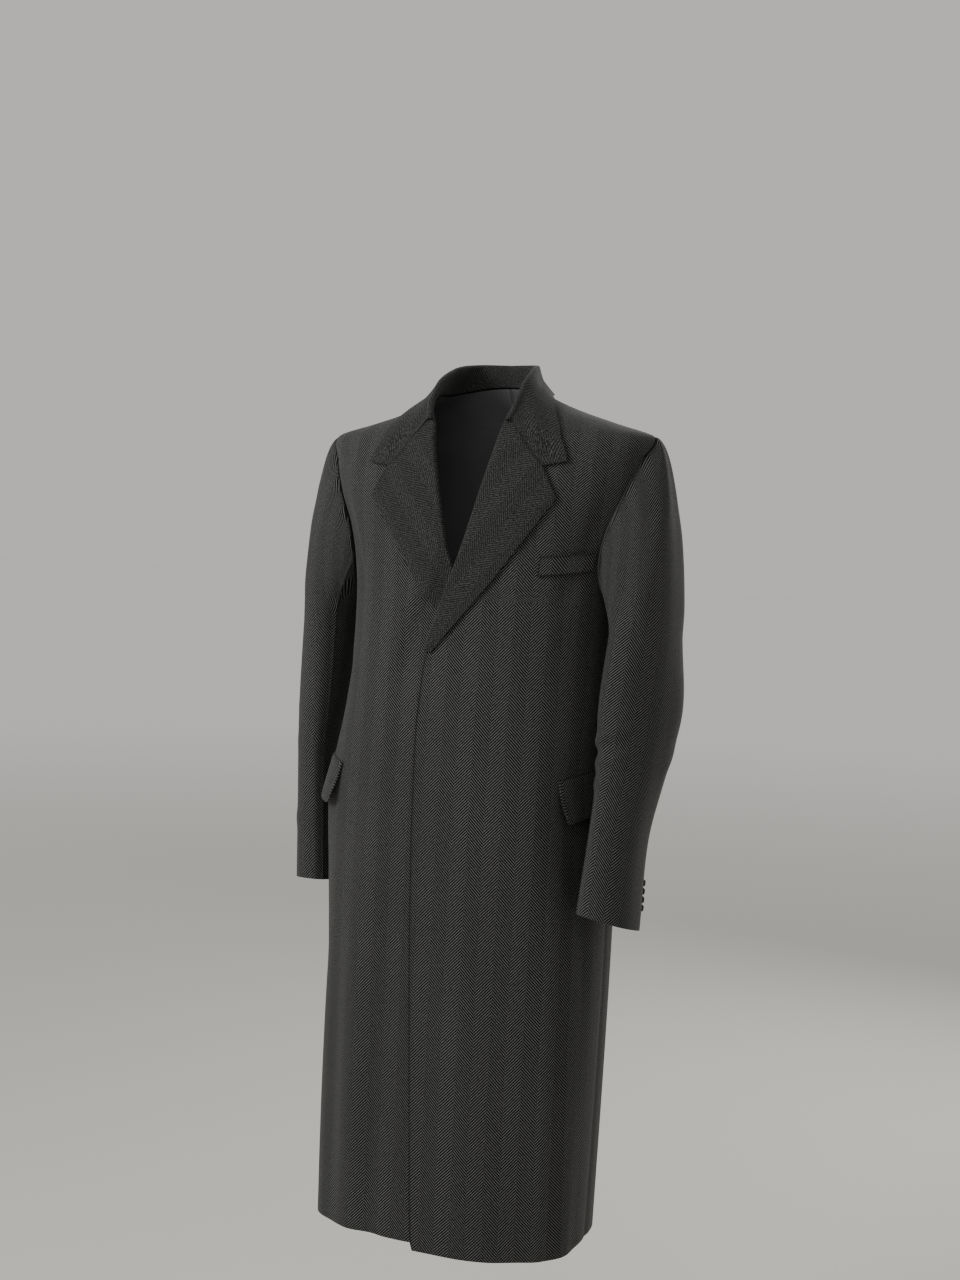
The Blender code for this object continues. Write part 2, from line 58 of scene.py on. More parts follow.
def makeCamera():
    yaw, pitch, roll = (math.radians(photoView[key]) for key in ("yaw", "pitch", "roll"))
    right = Vector((math.cos(yaw), math.sin(yaw), 0.0))
    ahead = Vector((-math.sin(yaw), math.cos(yaw), 0.0))
    up = Vector((0.0, 0.0, 1.0))
    eye = right * photoView["slide"] - ahead * photoView["distance"] + up * photoView["height"]
    look = ahead * math.cos(pitch) - up * math.sin(pitch)
    top = up * math.cos(pitch) + ahead * math.sin(pitch)
    rolledRight = right * math.cos(roll) + top * math.sin(roll)
    rolledTop = top * math.cos(roll) - right * math.sin(roll)
    lens = bpy.data.cameras.new("photoCamera")
    lens.sensor_width = photoView["sensor"]
    lens.lens = photoView["focal"] / photoView["imageHeight"] * photoView["sensor"]
    lens.clip_end = photoView["farClip"]
    camera = bpy.data.objects.new("photoCamera", lens)
    turn = Matrix((rolledRight, rolledTop, -look)).transposed()
    camera.matrix_world = Matrix.Translation(eye) @ turn.to_4x4()
    bpy.context.scene.collection.objects.link(camera)
    bpy.context.scene.camera = camera


makeCamera()
print("camera set")


# a socket whose arithmetic adds Math nodes
class Wire:
    def __init__(self, tree, socket=None):
        self.tree = tree
        self.socket = socket

    def node(self, kind, settings, inputs, output=0):
        made = self.tree.nodes.new(kind)
        for key, value in settings.items():
            setattr(made, key, value)
        for key, value in inputs.items():
            if isinstance(value, Wire):
                self.tree.links.new(value.socket, made.inputs[key])
            else:
                made.inputs[key].default_value = value
        return Wire(self.tree, made.outputs[output])

    def maths(self, operation, first, second=0.0, third=0.0):
        return self.node("ShaderNodeMath", {"operation": operation}, {0: first, 1: second, 2: third})

    def __add__(self, other):
        return self.maths("ADD", self, other)

    def __radd__(self, other):
        return self.maths("ADD", other, self)

    def __sub__(self, other):
        return self.maths("SUBTRACT", self, other)

    def __rsub__(self, other):
        return self.maths("SUBTRACT", other, self)

    def __mul__(self, other):
        return self.maths("MULTIPLY", self, other)

    def __rmul__(self, other):
        return self.maths("MULTIPLY", other, self)

    def __truediv__(self, other):
        return self.maths("DIVIDE", self, other)

    def __gt__(self, other):
        return self.maths("GREATER_THAN", self, other)

    def fraction(self):
        return self.maths("FRACT", self)

    def wave(self, scale):
        return self.maths("PINGPONG", self, scale)

    def ramp(self, low, high, start=0.0, end=1.0):
        return self.node("ShaderNodeMapRange", {"interpolation_type": "SMOOTHSTEP"},
                         {"Value": self, "From Min": low, "From Max": high, "To Min": start, "To Max": end})

    def blend(self, dark, light):
        return self.node("ShaderNodeMix", {"data_type": "RGBA"}, {0: self, 6: dark, 7: light}, 2)

    def scaled(self, colour):
        shade = self.node("ShaderNodeCombineXYZ", {}, {0: self, 1: self, 2: self})
        return self.node("ShaderNodeVectorMath", {"operation": "MULTIPLY"}, {0: colour, 1: shade})


def noiseOn(wire, place, scale, detail=2.0, rough=0.5):
    sockets = {"Vector": place, "Scale": scale, "Detail": detail, "Roughness": rough}
    return wire.node("ShaderNodeTexNoise", {}, sockets)


def bumpOf(wire, height, strength, distance):
    return wire.node("ShaderNodeBump", {}, {"Strength": strength, "Distance": distance, "Height": height})


def startMaterial(name):
    material = bpy.data.materials.new(name)
    material.use_nodes = True
    tree = material.node_tree
    return material, Wire(tree), tree.nodes["Principled BSDF"]


def joinSockets(wire, shader, sockets):
    for key, value in sockets.items():
        if isinstance(value, Wire):
            wire.tree.links.new(value.socket, shader.inputs[key])
        else:
            shader.inputs[key].default_value = value


# cloth coordinates are in metres: across the grain, then along it
herringbone = {
    "stripe": 0.0215,  # width of one run of the zigzag
    "pitch": 0.0041,  # height from one twill line to the next
    "slope": 1.05,
    "yarn": 0.00072,
    "wander": 0.0005,  # how far the lines stray
    "strayScale": 55.0,  # noise scales are in patches to the metre
    "cloudScale": 5.0,
    "napScale": 240.0,
    "fleckScale": 760.0,
    "slubScale": 900.0,
    "dark": (0.0012, 0.0013, 0.0013, 1.0),
    "light": (0.1320, 0.1331, 0.1298, 1.0),
    "softDark": (0.0060, 0.0062, 0.0059, 1.0),  # of the smoother facings
    "softLight": (0.0560, 0.0567, 0.0549, 1.0),
    "leanPaintedLight": 0.14,  # painted light: one lean of the twill is painted lighter, as the light from the left falls on it better
    "woolTwill": (1.0, 0.68, 0.82),  # share of the twill beside the flecks, and where its lines start
    "facingTwill": (0.38, 0.46, 0.70),
    "slubShare": 0.5,
    "napShare": 0.4,
    "fleckShare": 2.4,
    "yarnShade": (0.82, 0.20, 0.10),  # least shade, then what the weft and the warp add
    "cloudShade": (0.80, 0.36),
    "leanShade": 0.86,
    # how much the painted shade along seams and edges darkens the wool
    "seamShade": 0.8,
    "relief": (0.6, 0.18, 0.12, 0.25, 0.3),  # of line, weft, warp, slub and nap
    "bumpStrength": 0.55,
    "roughnessSpread": 0.12,
    "specular": 0.18,
    "sheen": 0.12,
    "sheenRoughness": 0.45,
    "sheenTint": (0.62, 0.62, 0.60, 1.0),
    "roughness": 0.88,
    "bump": 0.00035,
}


def twillOf(wire, uv, size):
    stray = noiseOn(wire, uv, size["strayScale"]) - 0.5
    across = wire.node("ShaderNodeSeparateXYZ", {}, {0: uv}, 0) + stray * size["wander"]
    along = wire.node("ShaderNodeSeparateXYZ", {}, {0: uv}, 1) + stray * size["wander"]
    lean = (across / (2.0 * size["stripe"])).fraction() > 0.5
    climb = along + across.wave(size["stripe"]) * size["slope"] + lean * (0.5 * size["pitch"])
    line = (climb / size["pitch"]).fraction().wave(0.5) * 2.0
    weft = (across / size["yarn"]).fraction().wave(0.5) * 2.0
    warp = (along / size["yarn"]).fraction().wave(0.5) * 2.0
    return line, lean, weft, warp


def makeWool(name, dark, light, twill):
    material, wire, shader = startMaterial(name)
    uv = wire.node("ShaderNodeTexCoord", {}, {}, "UV")
    line, lean, weft, warp = twillOf(wire, uv, herringbone)
    slub = noiseOn(wire, uv, herringbone["slubScale"], 3.0, 0.6)
    nap = noiseOn(wire, uv, herringbone["napScale"], 4.0, 0.65)
    cloud = noiseOn(wire, uv, herringbone["cloudScale"], 3.0)
    fleck = noiseOn(wire, uv, herringbone["fleckScale"], 1.0)
    share, low, high = twill
    flecks = (slub - 0.5) * herringbone["slubShare"] + (nap - 0.5) * herringbone["napShare"]
    flecks = flecks + (fleck - 0.5) * (herringbone["fleckShare"] * (1.0 - share))
    lightYarn = (line * share + flecks + 0.5 * (1.0 - share)).ramp(low, high)
    leastShade, weftShade, warpShade = herringbone["yarnShade"]
    leastCloud, cloudSpread = herringbone["cloudShade"]
    # painted shade along seams and edges, read from the seamShade attribute
    sewn = wire.node("ShaderNodeAttribute", {"attribute_name": "seamShade"}, {}, "Fac")
    shade = leastShade + weft * weftShade + warp * warpShade
    # painted light: the lean of the twill that faces the light is painted lighter
    shade = shade * (herringbone["leanShade"] + lean * herringbone["leanPaintedLight"])
    shade = shade * (leastCloud + cloud * cloudSpread) * (1.0 - sewn * herringbone["seamShade"])
    lineHigh, weftHigh, warpHigh, slubHigh, napHigh = herringbone["relief"]
    height = line * lineHigh + weft * weftHigh + warp * warpHigh + slub * slubHigh + nap * napHigh
    joinSockets(wire, shader, {
        "Base Color": shade.scaled(lightYarn.blend(dark, light)),
        "Roughness": herringbone["roughness"] + (nap - 0.5) * herringbone["roughnessSpread"],
        "Normal": bumpOf(wire, height, herringbone["bumpStrength"], herringbone["bump"]),
        "Specular IOR Level": herringbone["specular"],
        "Sheen Weight": herringbone["sheen"],
        "Sheen Roughness": herringbone["sheenRoughness"],
        "Sheen Tint": herringbone["sheenTint"],
    })
    return material


liningCloth = {
    "satin": (0.0600, 0.0610, 0.0640, 1.0),
    # the lighter colour of the satin's painted sheen
    "satinPaintedSheen": (0.1250, 0.1265, 0.1310, 1.0),
    "turnUp": 0.042,  # the wool is turned up inside hems and cuffs
    "wool": (0.0260, 0.0260, 0.0250, 1.0),
    "rib": 0.0009,
    "ribShare": 0.4,
    "sheenScale": 18.0,
    "roughness": (0.86, 0.36, 0.08),  # of the wool, how much less the satin has, and its spread
    "bumpStrength": 0.4,
    "bump": 0.0005,
    "specular": 0.3,
}


def makeLining():
    material, wire, shader = startMaterial("darkLining")
    uv = wire.node("ShaderNodeTexCoord", {}, {}, "UV")
    along = wire.node("ShaderNodeSeparateXYZ", {}, {0: uv}, 1)
    across = wire.node("ShaderNodeSeparateXYZ", {}, {0: uv}, 0)
    rib = ((across + along) / liningCloth["rib"]).fraction().wave(0.5) * 2.0
    sheen = noiseOn(wire, uv, liningCloth["sheenScale"], 3.0)
    line, lean, weft, warp = twillOf(wire, uv, herringbone)
    ribShare = liningCloth["ribShare"]
    # painted sheen: the satin's colour is lighter along its ribs and in soft patches
    paintedSheen = rib * ribShare + sheen * (1.0 - ribShare)
    satin = paintedSheen.blend(liningCloth["satin"], liningCloth["satinPaintedSheen"])
    # the turned-up wool's lighter lean is painted light as well
    wool = (line * (0.8 + lean * 0.2)).blend(herringbone["dark"], liningCloth["wool"])
    lined = along > liningCloth["turnUp"]
    height = rib * 0.3 + sheen * 0.7 + (1.0 - lined) * (0.5 + weft * 0.2 + warp * 0.2)
    woolRough, satinLess, spread = liningCloth["roughness"]
    joinSockets(wire, shader, {
        "Base Color": lined.blend(wool, satin),
        "Roughness": woolRough - lined * satinLess + sheen * spread,
        "Normal": bumpOf(wire, height, liningCloth["bumpStrength"], liningCloth["bump"]),
        "Specular IOR Level": liningCloth["specular"],
    })
    return material


hornFinish = {
    "dark": (0.0055, 0.0050, 0.0046, 1.0),
    "light": (0.0300, 0.0245, 0.0190, 1.0),
    "streakScale": 620.0,
    "stretch": (1.0, 1.0, 0.22),
    "turn": (0.5, 0.3, 0.0),
    "scuffScale": 2600.0,
    "roughness": (0.24, 0.16),
    "bumpStrength": 0.2,
    "bump": 0.0001,
}


def makeHorn():
    material, wire, shader = startMaterial("darkHorn")
    place = wire.node("ShaderNodeTexCoord", {}, {}, "Object")
    sockets = {"Vector": place, "Scale": hornFinish["stretch"], "Rotation": hornFinish["turn"]}
    stretched = wire.node("ShaderNodeMapping", {}, sockets)
    streak = noiseOn(wire, stretched, hornFinish["streakScale"], 5.0, 0.6).ramp(0.35, 0.72)
    scuff = noiseOn(wire, place, hornFinish["scuffScale"], 3.0, 0.6)
    smooth, spread = hornFinish["roughness"]
    joinSockets(wire, shader, {
        "Base Color": streak.blend(hornFinish["dark"], hornFinish["light"]),
        "Roughness": smooth + scuff * spread,
        "Normal": bumpOf(wire, scuff, hornFinish["bumpStrength"], hornFinish["bump"]),
    })
    return material


threadFinish = {
    "dark": (0.010, 0.010, 0.010, 1.0),
    "light": (0.048, 0.048, 0.046, 1.0),
    "fibreScale": 5200.0,
    "roughness": (0.70, 0.15),
}


def makeThread():
    material, wire, shader = startMaterial("darkThread")
    place = wire.node("ShaderNodeTexCoord", {}, {}, "Object")
    fibre = noiseOn(wire, place, threadFinish["fibreScale"], 3.0, 0.6)
    smooth, spread = threadFinish["roughness"]
    joinSockets(wire, shader, {
        "Base Color": fibre.blend(threadFinish["dark"], threadFinish["light"]),
        "Roughness": smooth + fibre * spread,
    })
    return material


woolCloth = makeWool("herringboneWool", *(herringbone[key] for key in ("dark", "light", "woolTwill")))
facingWool = makeWool("facingWool", *(herringbone[key] for key in ("softDark", "softLight", "facingTwill")))
liningSatin = makeLining()
darkHorn = makeHorn()
darkThread = makeThread()
print("materials made")


# the coat's outer surface: 0 degrees is the front, 90 the left side, 180 the back
coat = {
    "wall": 0.0024,
    "seam": -0.0001,  # sewn edges meet with this much overlap, so that no light shows through
    "lip": 0.0010,  # gap between a rolled piece and the edge it leaves
    "layer": 0.0008,  # gap between layers that lie on each other
    "seamDip": 0.0013,  # how far the cloth is drawn in along a seam
    "seamWidth": 0.0036,
    "seamShadeHalfWidth": 0.0016,  # half width of its painted dark shade line
    "sewnSteps": (0.0, 0.0008, 0.0017, 0.0034, 0.0065),  # where the mesh is closer along a sewn edge
    "hem": -1.106,
    "break": -0.335,
    "underarm": -0.262,
    "shoulder": -0.043,
    "gorge": -0.034,
    "neck": 0.010,
    "neckRise": 0.012,
    "riseFrom": -0.100,
    "rightDrop": 0.008,  # the right shoulder hangs a little lower
    "dropAcross": (0.03, 0.14),
    "dropUp": (-0.22, -0.05),
    "swayAngle": 68.0,
    "swayHalfAngle": 36.0,
    "armholeScoop": 26.0,
    "armholeSkew": 0.65,
    "armholeRound": 0.6,
}

tables = {
    # level, half width, front, back, side, squareness
    "rings": (
        (0.010, 0.0730, 0.061, 0.071, 0.012, 2.00), (0.000, 0.0945, 0.066, 0.078, 0.012, 2.00),
        (-0.012, 0.1270, 0.071, 0.087, 0.012, 1.95), (-0.026, 0.1730, 0.077, 0.097, 0.012, 1.90),
        (-0.043, 0.2263, 0.084, 0.108, 0.012, 1.90), (-0.075, 0.2215, 0.094, 0.122, 0.014, 2.35),
        (-0.120, 0.2130, 0.105, 0.133, 0.016, 2.45), (-0.170, 0.1985, 0.113, 0.138, 0.018, 2.40),
        (-0.220, 0.1870, 0.119, 0.139, 0.018, 2.35), (-0.262, 0.1815, 0.123, 0.137, 0.018, 2.40),
        (-0.350, 0.1820, 0.129, 0.129, 0.014, 2.40), (-0.450, 0.1870, 0.139, 0.122, 0.008, 2.40),
        (-0.560, 0.1920, 0.148, 0.124, 0.000, 2.40), (-0.700, 0.1930, 0.154, 0.130, -0.009, 2.50),
        (-0.900, 0.1905, 0.160, 0.135, -0.019, 2.60), (-1.106, 0.1865, 0.164, 0.138, -0.030, 2.60),
    ),
    # level and x: how far both sides of the front stand to the right at the hips
    "sway": (
        (0.010, 0.0), (-0.360, 0.0), (-0.430, -0.0040), (-0.485, -0.0110), (-0.538, -0.0145),
        (-0.633, -0.0075), (-0.700, -0.0030), (-0.780, 0.0), (-1.106, 0.0),
    ),
    # level and x of the left front's edge: overlap, roll line, neckline
    "frontEdge": (
        (0.010, 0.0725), (0.000, 0.0690), (-0.012, 0.0640), (-0.034, 0.0530), (-0.067, 0.0460),
        (-0.125, 0.0325), (-0.180, 0.0188), (-0.213, 0.0092), (-0.268, -0.0085), (-0.335, -0.0310),
        (-0.380, -0.0370), (-0.450, -0.0385), (-0.700, -0.0310), (-0.900, -0.0215), (-1.092, -0.0120),
        (-1.106, -0.0080),
    ),
    # level and x of the lapel's outer edge
    "lapelEdge": (
        (-0.127, 0.1283), (-0.185, 0.0890), (-0.229, 0.0590), (-0.264, 0.0320), (-0.300, 0.0030),
        (-0.332, -0.0230),
    ),
    # level, centre x and y, reach outward, inward, front and back, then slope, turn and tilt of the ring
    "leftArm": (
        (-0.300, 0.2210, 0.004, 0.0500, 0.0345, 0.084, 0.072, 0.00, 0.00, 0.00),
        (-0.400, 0.2200, 0.000, 0.0515, 0.0300, 0.080, 0.068, 0.04, 0.19, 0.00),
        (-0.480, 0.2155, -0.016, 0.0445, 0.0260, 0.072, 0.064, 0.12, 0.11, 0.03),
        (-0.560, 0.2110, -0.046, 0.0395, 0.0245, 0.062, 0.058, 0.20, 0.05, 0.10),
        (-0.668, 0.2140, -0.084, 0.0390, 0.0300, 0.055, 0.052, 0.24, 0.12, 0.20),
    ),
    "rightArm": (
        (-0.300, 0.2210, 0.012, 0.0385, 0.0345, 0.074, 0.068, 0.00, 0.00, 0.00),
        (-0.400, 0.2225, 0.010, 0.0425, 0.0270, 0.068, 0.064, 0.02, 0.00, 0.00),
        (-0.480, 0.2255, 0.006, 0.0400, 0.0190, 0.060, 0.060, 0.08, 0.00, 0.00),
        (-0.560, 0.2250, 0.001, 0.0380, 0.0180, 0.054, 0.055, 0.10, 0.00, 0.00),
        (-0.669, 0.2210, -0.006, 0.0385, 0.0200, 0.049, 0.050, 0.12, 0.00, 0.00),
    ),
    # place, fold x y z, angle and level of the edge, bulge
    "collar": (
        (0.00, 0.0500, -0.0855, -0.0270, 34.5, -0.0800, 0.0000),
        (0.22, 0.0550, -0.0690, -0.0045, 32.8, -0.0500, 0.0000),
        (0.32, 0.0552, -0.0545, 0.0086, 36.2, -0.0355, -0.0009),
        (0.45, 0.0550, -0.0350, 0.0255, 48.8, -0.0165, -0.0025),
        (0.54, 0.0535, -0.0140, 0.0355, 65.0, -0.0050, -0.0030),
        (0.64, 0.0490, 0.0110, 0.0440, 90.0, 0.0060, -0.0015),
        (0.82, 0.0370, 0.0520, 0.0510, 134.0, 0.0035, 0.0005),
        (1.00, 0.0000, 0.0660, 0.0530, 180.0, -0.0060, 0.0010),
    ),
}

# soft flutes of the skirt: angle, half width, depth, level where each starts and where it is full
flutes = (
    (-17.0, 13.0, -0.0060, -0.66, -1.10), (-58.0, 18.0, 0.0040, -0.60, -1.05),
    (38.0, 16.0, -0.0045, -0.62, -1.08), (66.0, 14.0, 0.0050, -0.70, -1.12),
    (112.0, 17.0, -0.0060, -0.55, -1.10), (146.0, 16.0, 0.0060, -0.50, -1.12),
    (-128.0, 18.0, -0.0055, -0.55, -1.10), (-158.0, 14.0, 0.0060, -0.58, -1.12),
)


def ease(low, high, value):
    part = min(max((value - low) / (high - low), 0.0), 1.0)
    return part * part * (3.0 - 2.0 * part)


def bend(start, leave, end, arrive, part):
    squared = part * part
    cubed = squared * part
    return (start * (2.0 * cubed - 3.0 * squared + 1.0) + leave * (cubed - 2.0 * squared + part)
            + end * (3.0 * squared - 2.0 * cubed) + arrive * (cubed - squared))


@lru_cache(maxsize=None)
def rowAt(name, place):
    rows = sorted(tables[name])
    place = min(max(place, rows[0][0]), rows[-1][0])
    index = 0
    while index < len(rows) - 2 and place > rows[index + 1][0]:
        index += 1
    span = rows[index + 1][0] - rows[index][0]
    part = (place - rows[index][0]) / span
    before = rows[max(index - 1, 0)]
    after = rows[min(index + 2, len(rows) - 1)]
    found = []
    for low, start, end, high in zip(before, rows[index], rows[index + 1], after):
        leave = (end - low) / (rows[index + 1][0] - before[0]) * span
        arrive = (high - start) / (after[0] - rows[index][0]) * span
        found.append(bend(start, leave, end, arrive, part))
    return found


def fluteDepth(angle, level):
    depth = 0.0
    for middle, halfAngle, most, start, full in flutes:
        off = abs((angle - middle + 180.0) % 360.0 - 180.0)
        if off < halfAngle:
            depth += most * math.cos(0.5 * math.pi * off / halfAngle) ** 2 * ease(-start, -full, -level)
    return depth


def bodyPoint(angle, level):
    halfWidth, front, back, side, square = rowAt("rings", level)[1:]
    sine = math.sin(math.radians(angle))
    cosine = math.cos(math.radians(angle))
    power = 2.0 / square
    depth = side + front if cosine > 0.0 else back - side
    flute = fluteDepth(angle, level)
    x = math.copysign(abs(sine) ** power, sine) * halfWidth + flute * sine
    off = min(abs(abs(angle) - coat["swayAngle"]) / coat["swayHalfAngle"], 1.0)
    x += rowAt("sway", level)[1] * math.cos(0.5 * math.pi * off) ** 2
    y = side - math.copysign(abs(cosine) ** power, cosine) * depth - flute * cosine
    rise = coat["neckRise"] * ease(coat["riseFrom"], coat["neck"], level) * max(-cosine, 0.0) ** 2
    return Vector((x, y, level + rise))


def bodyNormal(angle, level):
    turn = 1.0
    climb = 0.004
    across = bodyPoint(angle + turn, level) - bodyPoint(angle - turn, level)
    top = min(level + climb, coat["neck"])
    along = bodyPoint(angle, top) - bodyPoint(angle, top - 2.0 * climb)
    return across.cross(along).normalized()


def onBody(angle, level, out=0.0):
    return bodyPoint(angle, level) + bodyNormal(angle, level) * out


def handed(settings, what, side):
    return settings[("left" if side > 0 else "right") + what]


def ringTurn(distance, reach, square):
    sine = min(abs(distance) / reach, 1.0) ** (0.5 * square)
    return math.copysign(math.degrees(math.asin(sine)), distance)


def angleOf(x, level):
    ring = rowAt("rings", level)
    return ringTurn(x, ring[1], ring[5])


def frontEdgeX(level):
    return rowAt("frontEdge", level)[1]


def sideGap(level):
    ring = rowAt("rings", level)
    return ringTurn(coat["seam"], ring[2] + ring[4], ring[5])


def armholeAngle(level):
    part = (level - coat["underarm"]) / (coat["shoulder"] - coat["underarm"])
    if part <= 0.0 or part >= 1.0:
        return 0.0
    return coat["armholeScoop"] * math.sin(math.pi * part ** coat["armholeSkew"]) ** coat["armholeRound"]


# the right front and its lapel pass under the edge of the left front
overlap = {
    "edge": 0.0038,
    "lapel": 0.0076,
    "start": 0.036,
    "full": 0.009,
    "lead": 0.016,
    "deeper": (0.05, 0.01),  # below the break, where it deepens for the lapel
    "crossing": (-0.17, -0.21),  # levels where the right lapel goes under the left
}


def rightSink(x, level):
    edge = frontEdgeX(level)
    low, high = overlap["deeper"]
    deep = ease(coat["break"] - low, coat["break"] - high, level)
    depth = overlap["edge"] + (overlap["lapel"] - overlap["edge"]) * deep
    crossing = ease(*overlap["crossing"], level)
    return depth * crossing * ease(edge - overlap["start"], edge - overlap["full"], x)


def settle(point):
    drop = coat["rightDrop"] * ease(*coat["dropAcross"], -point.x) * ease(*coat["dropUp"], point.z)
    return Vector((point.x, point.y, point.z - drop))


creaseForm = {"reach": 3.0, "endShare": 0.25, "taper": 0.3}


# creases: from where to where in degrees and levels, half width and height in metres
def creaseHeight(creases, across, up, degreeSize, upSize):
    x = math.radians(across) * degreeSize
    y = up * upSize
    height = 0.0
    for fromAcross, fromUp, toAcross, toUp, width, depth in creases:
        startX, startY = math.radians(fromAcross) * degreeSize, fromUp * upSize
        runX, runY = math.radians(toAcross) * degreeSize - startX, toUp * upSize - startY
        part = ((x - startX) * runX + (y - startY) * runY) / (runX * runX + runY * runY)
        held = min(max(part, 0.0), 1.0)
        off = math.hypot(x - startX - runX * held, y - startY - runY * held) / width
        if off < creaseForm["reach"]:
            ends = ease(0.0, creaseForm["taper"], held) * ease(0.0, creaseForm["taper"], 1.0 - held)
            full = creaseForm["endShare"] + (1.0 - creaseForm["endShare"]) * ends
            height += depth * math.exp(-off * off) * full
    return height


def seamDip(distance):
    return -coat["seamDip"] * math.exp(-(distance / coat["seamWidth"]) ** 2)


# steps from 0 to 1 over a length in metres, closer at both ends where the cloth is sewn
def closeEnds(count, length):
    nearEdge = [reach / length for reach in coat["sewnSteps"]]
    low, high = nearEdge[-1], 1.0 - nearEdge[-1]
    middle = [low + (high - low) * step / count for step in range(1, count)]
    return nearEdge + middle + [1.0 - part for part in reversed(nearEdge)]


def addPiece(name, mesh):
    piece = bpy.data.objects.new(name, mesh)
    bpy.context.scene.collection.objects.link(piece)
    return piece


# the last argument says how dark the painted shade along the seams is at the cloth's start, end, bottom and
# top
def layCloth(name, acrossSteps, upSteps, place, firstAcross, grainColumn, grain, sewn):
    grid = bmesh.new()
    columns, rows = len(acrossSteps) - 1, len(upSteps) - 1
    bmesh.ops.create_grid(grid, x_segments=columns, y_segments=rows, size=0.5)
    grid.verts.index_update()
    spots = {}
    points = [[None] * (columns + 1) for step in range(rows + 1)]
    for vert in grid.verts:
        column = round((vert.co.x + 0.5) * columns)
        row = round((vert.co.y + 0.5) * rows)
        spots[vert.index] = (row, column)
        vert.co = settle(place(acrossSteps[column], upSteps[row]))
        points[row][column] = vert.co
    across = [[0.0] * (columns + 1) for step in range(rows + 1)]
    along = [[0.0] * (columns + 1) for step in range(rows + 1)]
    for row in range(1, rows + 1):
        for column in range(columns + 1):
            run = (points[row][column] - points[row - 1][column]).length
            along[row][column] = along[row - 1][column] + run
    for row in range(rows + 1):
        runs = [(after - before).length for before, after in zip(points[row], points[row][1:])]
        across[row][grainColumn] = firstAcross(upSteps[row])
        for column in range(grainColumn, columns):
            across[row][column + 1] = across[row][column] + runs[column]
        for column in range(grainColumn - 1, -1, -1):
            across[row][column] = across[row][column + 1] - runs[column]
    # painted shade: a dark line along each seamed edge, as dark as given for that side
    seamShade = grid.verts.layers.float.new("seamShade")
    for vert in grid.verts:
        row, column = spots[vert.index]
        reaches = (across[row][column] - across[row][0], across[row][-1] - across[row][column],
                   along[row][column], along[-1][column] - along[row][column])
        lines = [dark * math.exp(-(reach / coat["seamShadeHalfWidth"]) ** 2) for dark, reach in zip(sewn, reaches)]
        vert[seamShade] = min(max(lines), 1.0)
    if grain == "even":
        along = [[along[row][columns // 2]] * (columns + 1) for row in range(rows + 1)]
    if isinstance(grain, Vector):
        across = [[point.x * grain.z - point.z * grain.x for point in line] for line in points]
        along = [[point.x * grain.x + point.z * grain.z for point in line] for line in points]
    clothMap = grid.loops.layers.uv.new("clothMap")
    for face in grid.faces:
        face.smooth = True
        for loop in face.loops:
            row, column = spots[loop.vert.index]
            loop[clothMap].uv = (across[row][column], along[row][column])
    area = sum(face.calc_area() for face in grid.faces)
    wide = max(max(line) for line in across) - min(min(line) for line in across)
    tall = max(max(line) for line in along) - min(min(line) for line in along)
    mesh = bpy.data.meshes.new(name)
    grid.to_mesh(mesh)
    grid.free()
    piece = addPiece(name, mesh)
    return piece, (round(wide, 4), round(tall, 4)), round(min(area, 0.999 * wide * tall), 4)


clothRim = {"width": 0.0008, "segments": 2, "angle": 50.0}


def finishCloth(piece, flat, area, held, node, outside, inside):
    piece.data.materials.append(outside)
    piece.data.materials.append(inside)
    solid = piece.modifiers.new("wall", "SOLIDIFY")
    solid.thickness = coat["wall"]
    solid.offset = -1.0
    solid.use_even_offset = True
    solid.use_quality_normals = True
    solid.material_offset = 1
    rim = piece.modifiers.new("rim", "BEVEL")
    rim.width = clothRim["width"]
    rim.segments = clothRim["segments"]
    rim.limit_method = "ANGLE"
    rim.angle_limit = math.radians(clothRim["angle"])
    rim.use_clamp_overlap = True
    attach(piece, "root")
    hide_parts(node)
    print(piece.name, "laid, cut", flat, "m, area", area)


def panelLevels(rowCounts):
    skirtRows, chestRows, shoulderRows = rowCounts
    hem, underarm, shoulder, neck = (coat[key] for key in ("hem", "underarm", "shoulder", "neck"))
    skirt = [hem + (underarm - hem) * step / skirtRows for step in range(skirtRows)]
    eased = [0.5 - 0.5 * math.cos(math.pi * (step / chestRows) ** 1.15) for step in range(chestRows)]
    chest = [underarm + (shoulder - underarm) * part for part in eased]
    top = [shoulder + (neck - shoulder) * step / shoulderRows for step in range(shoulderRows + 1)]
    return skirt + chest + top


bodyCrease = {"degreeSize": 0.17, "upSize": 1.0}

